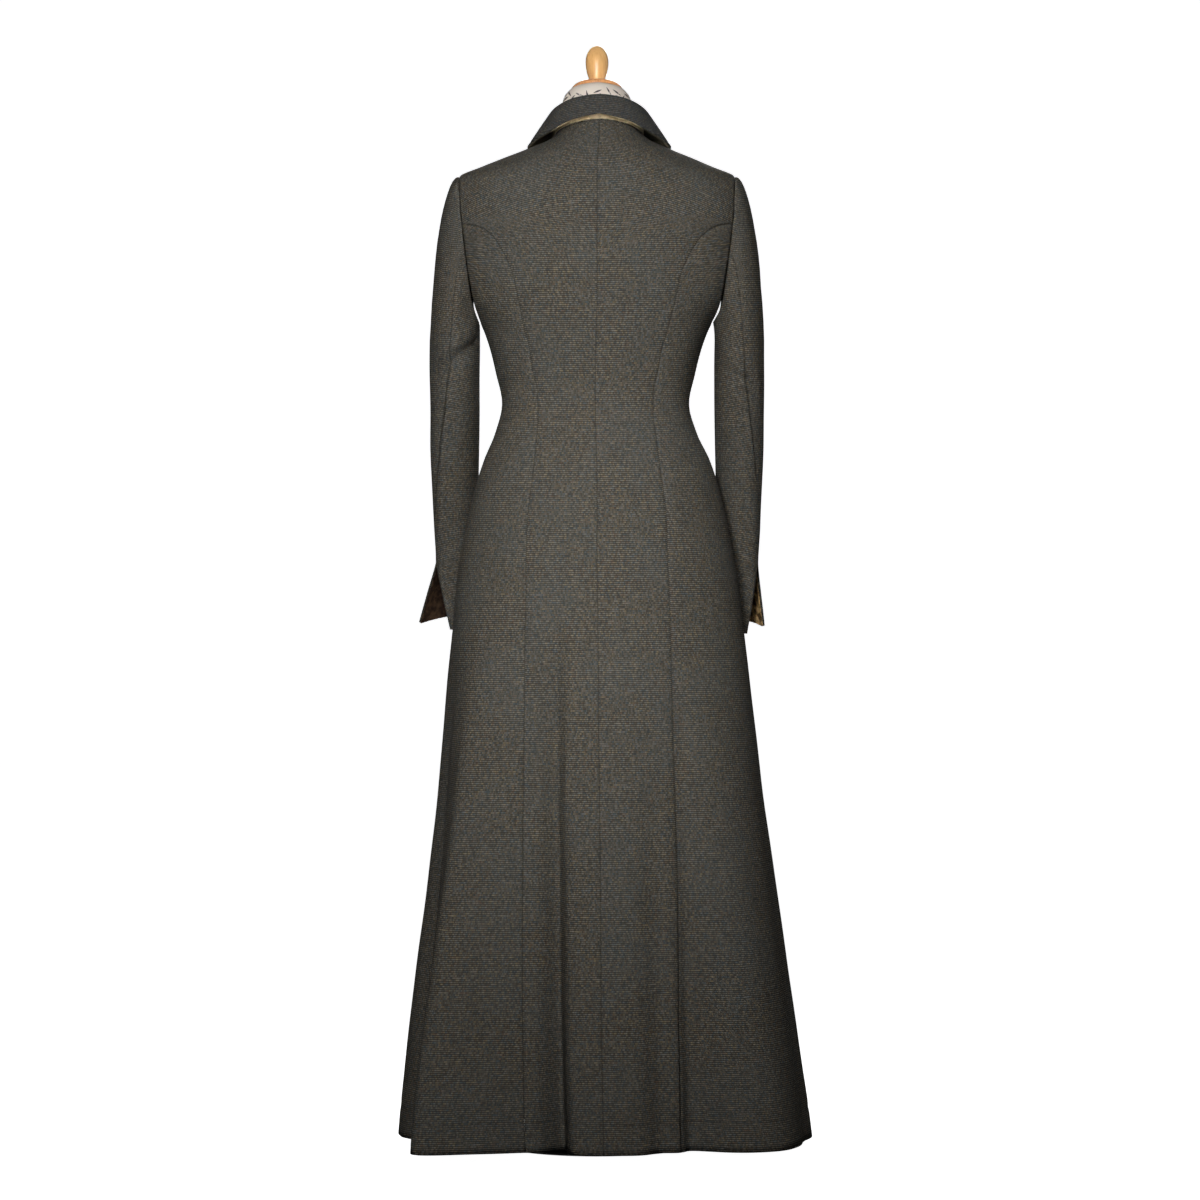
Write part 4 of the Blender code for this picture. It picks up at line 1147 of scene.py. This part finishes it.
def collarPoints(angles, travels):
    turn, sweep = np.abs(angles), np.radians(angles)
    stand, reach = collarShape.read("stand", turn), collarShape.read("reach", turn)
    radius = neckRadius(angles)
    neckHeight = heightOn(angles, radius)
    edge = heightOn(angles, radius + reach) + collarShape.read("rise", turn) - neckHeight
    roll, seat = collarCut["roll"], collarCut["seat"]
    # its line at each angle: out from the neck seam and up from it
    knots = np.array([np.stack(np.broadcast_arrays(out, up), -1) for out, up in (
        (-seat, collarShape.read("gap", turn)),
        (-collarCut["lean"], stand * 0.55),
        (-seat * 0.5, stand * 0.96),
        (roll * 0.4, stand),
        (roll, stand * 0.88),
        (mix(roll, reach, 0.5), mix(stand * 0.88, edge, collarCut["fallBend"])),
        (reach, edge),
    )])
    base = bodySkin(angles, neckHeight, False)
    points = []
    for travel in travels:
        along = travel * (len(knots) - 1)
        k = min(int(along), len(knots) - 2)
        t = along - k
        before, low, high, after = (knots[min(max(k + n, 0), len(knots) - 1)] for n in (-1, 0, 1, 2))
        line = 0.5 * (2 * low + (high - before) * t + (2 * before - 5 * low + 4 * high - after) * t ** 2
                      + (3 * low - before - 3 * high + after) * t ** 3)
        out, up = line[:, 0], line[:, 1]
        points.append(base + np.stack([np.sin(sweep) * out, np.cos(sweep) * out, up], -1))
    return np.array(points)


def makeCollar():
    cut = collarCut
    angles = np.linspace(-cut["end"], cut["end"], cut["columns"] * cut["parts"] + 1)
    travels = np.linspace(0.0, 1.0, cut["rows"] * cut["parts"] + 1)
    travels = np.array(sorted(set(travels.tolist() + list(cut["edge"]))))
    points = collarPoints(angles, travels)
    # the fall starts at half its rows
    fall = len(travels) // 2
    normals, facing = outerNormals(points, points * upOnly, fall)
    _, toEdge = edgeDistances(points, 0)
    left, right = edgeDistances(points, 1)
    nearest = np.minimum(toEdge, np.minimum(left, right))
    stitch = np.exp(-((nearest - cut["stitch"]) / cut["stitchWidth"]) ** 2)
    onFall = smoothStep((travels - cut["stitchStart"]) / cut["stitchFade"])[:, None]
    stitch = stitch * onFall * cut["stitchDepth"]
    top, under = points - normals * stitch[..., None], points - normals * (cut["wall"] + cut["gap"])
    for name, layer, material, slotName in (("top_collar", top, "tweed_collar_painted_shade", "tweed"),
                                            ("under_collar", under, "under_collar", "velvet")):
        clothPiece(name, layer, facing, cut["wall"], materials[material], slotName, fall,
                   cut["rim"])


makeCollar()
print("collar made")


def addTurned(name, profile, material, slotName, node, steps=72, location=None, tilt=0.0):
    # a turned piece from its outer profile, top to bottom, as (radius, height) pairs
    mesh = bpy.data.meshes.new(name)
    mesh.from_pydata([(radius, 0.0, height) for radius, height in profile],
                     [(k, k + 1) for k in range(len(profile) - 1)], [])
    maker = addObject(name, mesh)
    screw = maker.modifiers.new("turn", "SCREW")
    screw.steps, screw.render_steps = steps, steps
    screw.use_merge_vertices = True
    screw.merge_threshold = 0.000001
    bpy.context.view_layer.update()
    solid = bpy.data.meshes.new_from_object(maker.evaluated_get(bpy.context.evaluated_depsgraph_get()))
    bpy.data.objects.remove(maker, do_unlink=True)
    # the finished object sits at the origin, so its place is in its mesh
    if location is not None:
        solid.transform(Matrix.Translation(Vector(location)) @ Matrix.Rotation(tilt, 4, "X"))
    solid.shade_smooth()
    solid.set_sharp_from_angle(angle=math.radians(50))
    solid.materials.clear()
    solid.materials.append(material)
    made = addObject(name, solid)
    place(made, slotName, node)
    return made


# Cloth-covered buttons on the front edge
buttonCut = {
    "heights": (1.235, 1.118, 1.000, 0.882),
    "radius": 0.0125,
    "thickness": 0.0055,
    "gap": 0.0006,
    "stepUp": 0.0005,
    "stepRound": 1.5,
    "profile": ((0.0, 1.0), (0.28, 0.985), (0.55, 0.93), (0.76, 0.82), (0.90, 0.66), (0.975, 0.50),
                (1.0, 0.36), (0.97, 0.22), (0.88, 0.10), (0.72, 0.0), (0.0, 0.0)),
}


def makeButton(number, height):
    radius, rise, turn = buttonCut["radius"], buttonCut["stepUp"], buttonCut["stepRound"]
    centre = bodySkin(180.0, height, False)
    along = bodySkin(180.0 + turn, height, False) - bodySkin(180.0 - turn, height, False)
    up = bodySkin(180.0, height + rise, False) - bodySkin(180.0, height - rise, False)
    normal = np.cross(up, along)
    normal /= np.linalg.norm(normal)
    # it lies on the highest cloth under it
    across = math.degrees(radius / float(np.linalg.norm(centre[:2])))
    near = [bodySkin(180.0 + x * across, height + z * radius) for x in (-1, 0, 1) for z in (-1, 0, 1)]
    seat = max(float(np.dot(point - centre, normal)) for point in near) + buttonCut["gap"]
    profile = [(radius * r, buttonCut["thickness"] * z) for r, z in buttonCut["profile"]]
    made = addTurned(f"button_{number}_cloth", profile, materials["tweed"], "tweed", f"button_{number}", 40,
                     centre + normal * seat, math.radians(90.0) - math.asin(float(normal[2])))
    layer = made.data.uv_layers.new(name="cut")
    for loop in made.data.loops:
        point = made.data.vertices[loop.vertex_index].co
        layer.data[loop.index].uv = (point.x, point.z)


for number, height in enumerate(buttonCut["heights"], 1):
    makeButton(number, height)
print("buttons made")


# The dress form, its cap and finial, and the stand
formCut = {
    "segments": 120,
    "frontEase": 0.0018,
    "bottomEdge": 0.010,
    "heights": (0.790, 0.800, 0.835, 0.875, 0.915, 0.955, 0.995, 1.035, 1.075, 1.115, 1.155, 1.195,
                1.235, 1.270, 1.294, 1.306, 1.318, 1.330, 1.343, 1.360),
    "neckRings": 9,
    "dome": 0.0022,
    "tilt": 14.0,
}
formEase = SizeTable((
    ("height", "ease", "plate"),
    (0.790, 0.0450, 0.1400),
    (0.870, 0.0200, 0.1480),
    (0.930, 0.0090, 0.1450),
    (1.000, 0.0060, 0.1300),
    (1.060, 0.0060, 0.1380),
    (1.109, 0.0080, 0.1440),
    (1.160, 0.0080, 0.1500),
    (1.230, 0.0075, 0.1600),
    (1.290, 0.0078, 0.1640),
    (1.360, 0.0078, 0.1640),
))
formNeck = SizeTable((
    ("height", "radius", "lean"),
    (1.378, 0.0490, 0.0),
    (1.402, 0.0472, 0.4),
    (1.413, 0.0440, 0.8),
    (1.4205, 0.0370, 1.0),
    (1.4255, 0.0240, 1.0),
))


def onNeck(points, lean):
    # leans points of the neck forward with the slanted cap, about the cap's rim
    tilt = math.radians(formCut["tilt"]) * lean
    x, y, z = points[..., 0], points[..., 1], points[..., 2] - capCut["rim"]
    return np.stack([x, y * math.cos(tilt) - z * math.sin(tilt),
                     capCut["rim"] + y * math.sin(tilt) + z * math.cos(tilt)], -1)


def makeForm():
    cut = formCut
    segments, heights = cut["segments"], cut["heights"]
    turns = np.linspace(-180.0, 180.0, segments + 1)[:-1]
    swept = np.radians(turns)
    front = cut["frontEase"] * smoothStep(-np.cos(swept) * 4)
    rings = []
    for k, height in enumerate(heights):
        # the lowest ring is the next one, drawn in
        level = max(height, heights[1])
        radius = plainRadius(turns, level) - (formEase.read("ease", level) + coatBody["wall"] + front)
        plate = float(formEase.read("plate", level))
        x, y = np.clip(radius * np.sin(swept), -plate, plate), radius * np.cos(swept)
        centre = float(sections.read("centre", level))
        if k == 0:
            shrink = 1 - cut["bottomEdge"] / np.hypot(x, y)
            x, y, centre = x * shrink, y * shrink, 0.0
        rings.append(np.stack([centre + x, y, np.full_like(x, height)], -1))
    for height in np.linspace(formNeck.keys[0], formNeck.keys[-1], cut["neckRings"]):
        radius = float(formNeck.read("radius", height))
        ring = np.stack([radius * np.sin(swept), radius * np.cos(swept), np.full_like(swept, height)], -1)
        rings.append(onNeck(ring, float(formNeck.read("lean", height))))
    crown = onNeck(np.array([0.0, 0.0, formNeck.keys[-1] + cut["dome"]]), 1.0)
    points = np.array(rings)
    builder = bmesh.new()
    count = len(rings)
    bmesh.ops.create_uvsphere(builder, u_segments=segments, v_segments=count + 1, radius=1.0)
    for vertex in builder.verts:
        polar = math.acos(min(max(vertex.co.z, -1.0), 1.0))
        ring = count - int(round(polar * (count + 1) / math.pi))
        column = int(round((math.degrees(math.atan2(vertex.co.x, vertex.co.y)) + 180.0) * segments / 360.0))
        if ring < 0:
            vertex.co = (0.0, 0.0, heights[0])
        elif ring >= count:
            vertex.co = crown
        else:
            vertex.co = points[ring, column % segments]
    bmesh.ops.recalc_face_normals(builder, faces=builder.faces[:])
    mesh = meshFrom("form_cover", builder)
    mesh.shade_smooth()
    mesh.set_sharp_from_angle(angle=math.radians(60))
    mesh.materials.append(materials["cover"])
    place(addObject("form_torso_cover", mesh), "form_cover", "form_torso")


capCut = {
    "radius": 0.0345,
    "rim": 1.4232,
    "rise": 0.0108,
    "thickness": 0.0048,
    "edge": 0.0012,
    "bevel": 0.0008,
}
finialCut = {"radius": 0.0155, "foot": 0.0088, "height": 0.0520, "widest": 0.56, "rings": 14, "gap": 0.0003}
standCut = {
    "poleRadius": 0.0125,
    "poleTop": 0.7897,
    "baseRadius": 0.130,
    "baseThickness": 0.0085,
    "hubRadius": 0.019,
    "hubHeight": 0.060,
    "gap": 0.0003,
}


def domeLine(radius, count, rim, top):
    turns = [math.pi / 2 * k / count for k in range(count + 1)]
    return [(radius * math.sin(turn), mix(rim, top, math.cos(turn))) for turn in turns]


def makeStand():
    cap, egg, stand = capCut, finialCut, standCut
    seat, tilt = (0.0, 0.0, cap["rim"]), math.radians(formCut["tilt"])
    upper = domeLine(cap["radius"], 14, 0.0, cap["rise"])
    lower = domeLine(cap["radius"] - cap["bevel"], 14, -cap["edge"], cap["rise"] - cap["thickness"])
    addTurned("neck_cap_wood", upper + lower[::-1], materials["neck_cap"], "beech", "neck_cap", 96, seat,
              tilt)
    foot = cap["rise"] + egg["gap"]
    widest = foot + egg["height"] * egg["widest"]
    profile = domeLine(egg["radius"], 18, widest, foot + egg["height"])
    for k in range(1, egg["rings"] + 1):
        t = k / egg["rings"]
        profile.append((mix(egg["radius"], egg["foot"], t ** 2), mix(widest, foot, t)))
    addTurned("finial_wood", profile + [(0.0, foot)], materials["finial"], "beech", "finial", 64, seat, tilt)
    hub, tall, thick, wide = (stand[key] for key in ("hubRadius", "hubHeight", "baseThickness", "baseRadius"))
    addTurned("base_steel", (
        (0.0, tall), (hub * 0.9, tall), (hub, tall * 0.95), (hub, tall * 0.35), (hub * 1.35, tall * 0.22),
        (wide * 0.4, thick), (wide - 0.003, thick * 0.85), (wide, thick * 0.5), (wide, 0.0), (0.0, 0.0),
    ), materials["steel"], "stand_steel", "base", 128)
    pole, top, foot = stand["poleRadius"], stand["poleTop"], tall + stand["gap"]
    addTurned("pole_steel", ((0.0, top), (pole, top), (pole, foot), (0.0, foot)), materials["steel"],
              "stand_steel", "pole", 48)


makeForm()
makeStand()
print("form and stand made")


# Camera, background and lights
studio = {
    "cameraAway": 6.0,
    "cameraHeight": 0.735,
    "cameraSide": -0.004,
    "viewWidth": 1.62,
    "sensor": 36.0,
    "floor": 30.0,
    "domeRadius": 14.0,
    "glow": 1.0,
    "worldStrength": 0.018,
}
# power, size, spread, place and the height that a lamp points at
lamps = {
    "wide_back": (9.0, (1.0, 0.7), 74.0, (0.25, 2.6, 2.15), 0.5),
    "tall_back": (1.25, (0.3, 1.3), 22.0, (0.25, 2.6, 1.06), 1.06),
    "wide_front": (9.0, (1.0, 0.7), 74.0, (-0.25, -2.6, 2.15), 0.5),
    "tall_front": (1.25, (0.3, 1.3), 22.0, (-0.25, -2.6, 1.06), 1.06),
    "side_left": (1.3, (1.0, 0.7), 90.0, (2.6, 0.0, 1.06), 1.06),
    "side_right": (1.3, (1.0, 0.7), 90.0, (-2.6, 0.0, 1.06), 1.06),
}


def addBackground(name, builder):
    mesh = meshFrom(name, builder)
    material, _, _ = startMaterial(
        name, Roughness=1.0, Base_Color=rgb(0.8, 0.8, 0.8), Emission_Color=rgb(1.0, 1.0, 1.0),
        Emission_Strength=studio["glow"], Specular_IOR_Level=0.0)
    mesh.materials.append(material)
    made = addObject(name, mesh)
    # it shows white without lighting the coat
    made.visible_diffuse, made.visible_glossy, made.visible_shadow = False, False, False


def makeBackground():
    builder = bmesh.new()
    bmesh.ops.create_grid(builder, x_segments=1, y_segments=1, size=studio["floor"] / 2)
    addBackground("floor", builder)
    builder = bmesh.new()
    bmesh.ops.create_uvsphere(builder, u_segments=32, v_segments=16, radius=studio["domeRadius"])
    bmesh.ops.reverse_faces(builder, faces=builder.faces)
    addBackground("dome", builder)


def addLamp(name, power, size, spreadAngle, location, aimHeight):
    lamp = bpy.data.lights.new(name, "AREA")
    lamp.energy, lamp.shape, lamp.size, lamp.size_y = power, "RECTANGLE", *size
    lamp.spread = math.radians(spreadAngle)
    made = addObject(name, lamp)
    made.visible_camera = False
    made.location = location
    aim = Vector((0.0, 0.0, aimHeight)) - Vector(location)
    made.rotation_euler = aim.to_track_quat("-Z", "Y").to_euler()


def makeStudio():
    camera = bpy.data.cameras.new("camera")
    camera.sensor_width = studio["sensor"]
    camera.lens = studio["sensor"] * studio["cameraAway"] / studio["viewWidth"]
    camera.dof.use_dof = False
    viewer = addObject("camera", camera)
    viewer.location = (studio["cameraSide"], studio["cameraAway"], studio["cameraHeight"])
    viewer.rotation_euler = (math.radians(90.0), 0.0, math.radians(180.0))
    bpy.context.scene.camera = viewer
    makeBackground()
    for name, settings in lamps.items():
        addLamp(name, *settings)
    world = bpy.data.worlds.new("studio")
    bpy.context.scene.world = world
    world.use_nodes = True
    backing = world.node_tree.nodes["Background"]
    backing.inputs["Color"].default_value = rgb(1.0, 1.0, 1.0)
    backing.inputs["Strength"].default_value = studio["worldStrength"]
    view = bpy.context.scene.view_settings
    view.view_transform = "Standard"
    view.look = "None"


makeStudio()
print("scene ready")
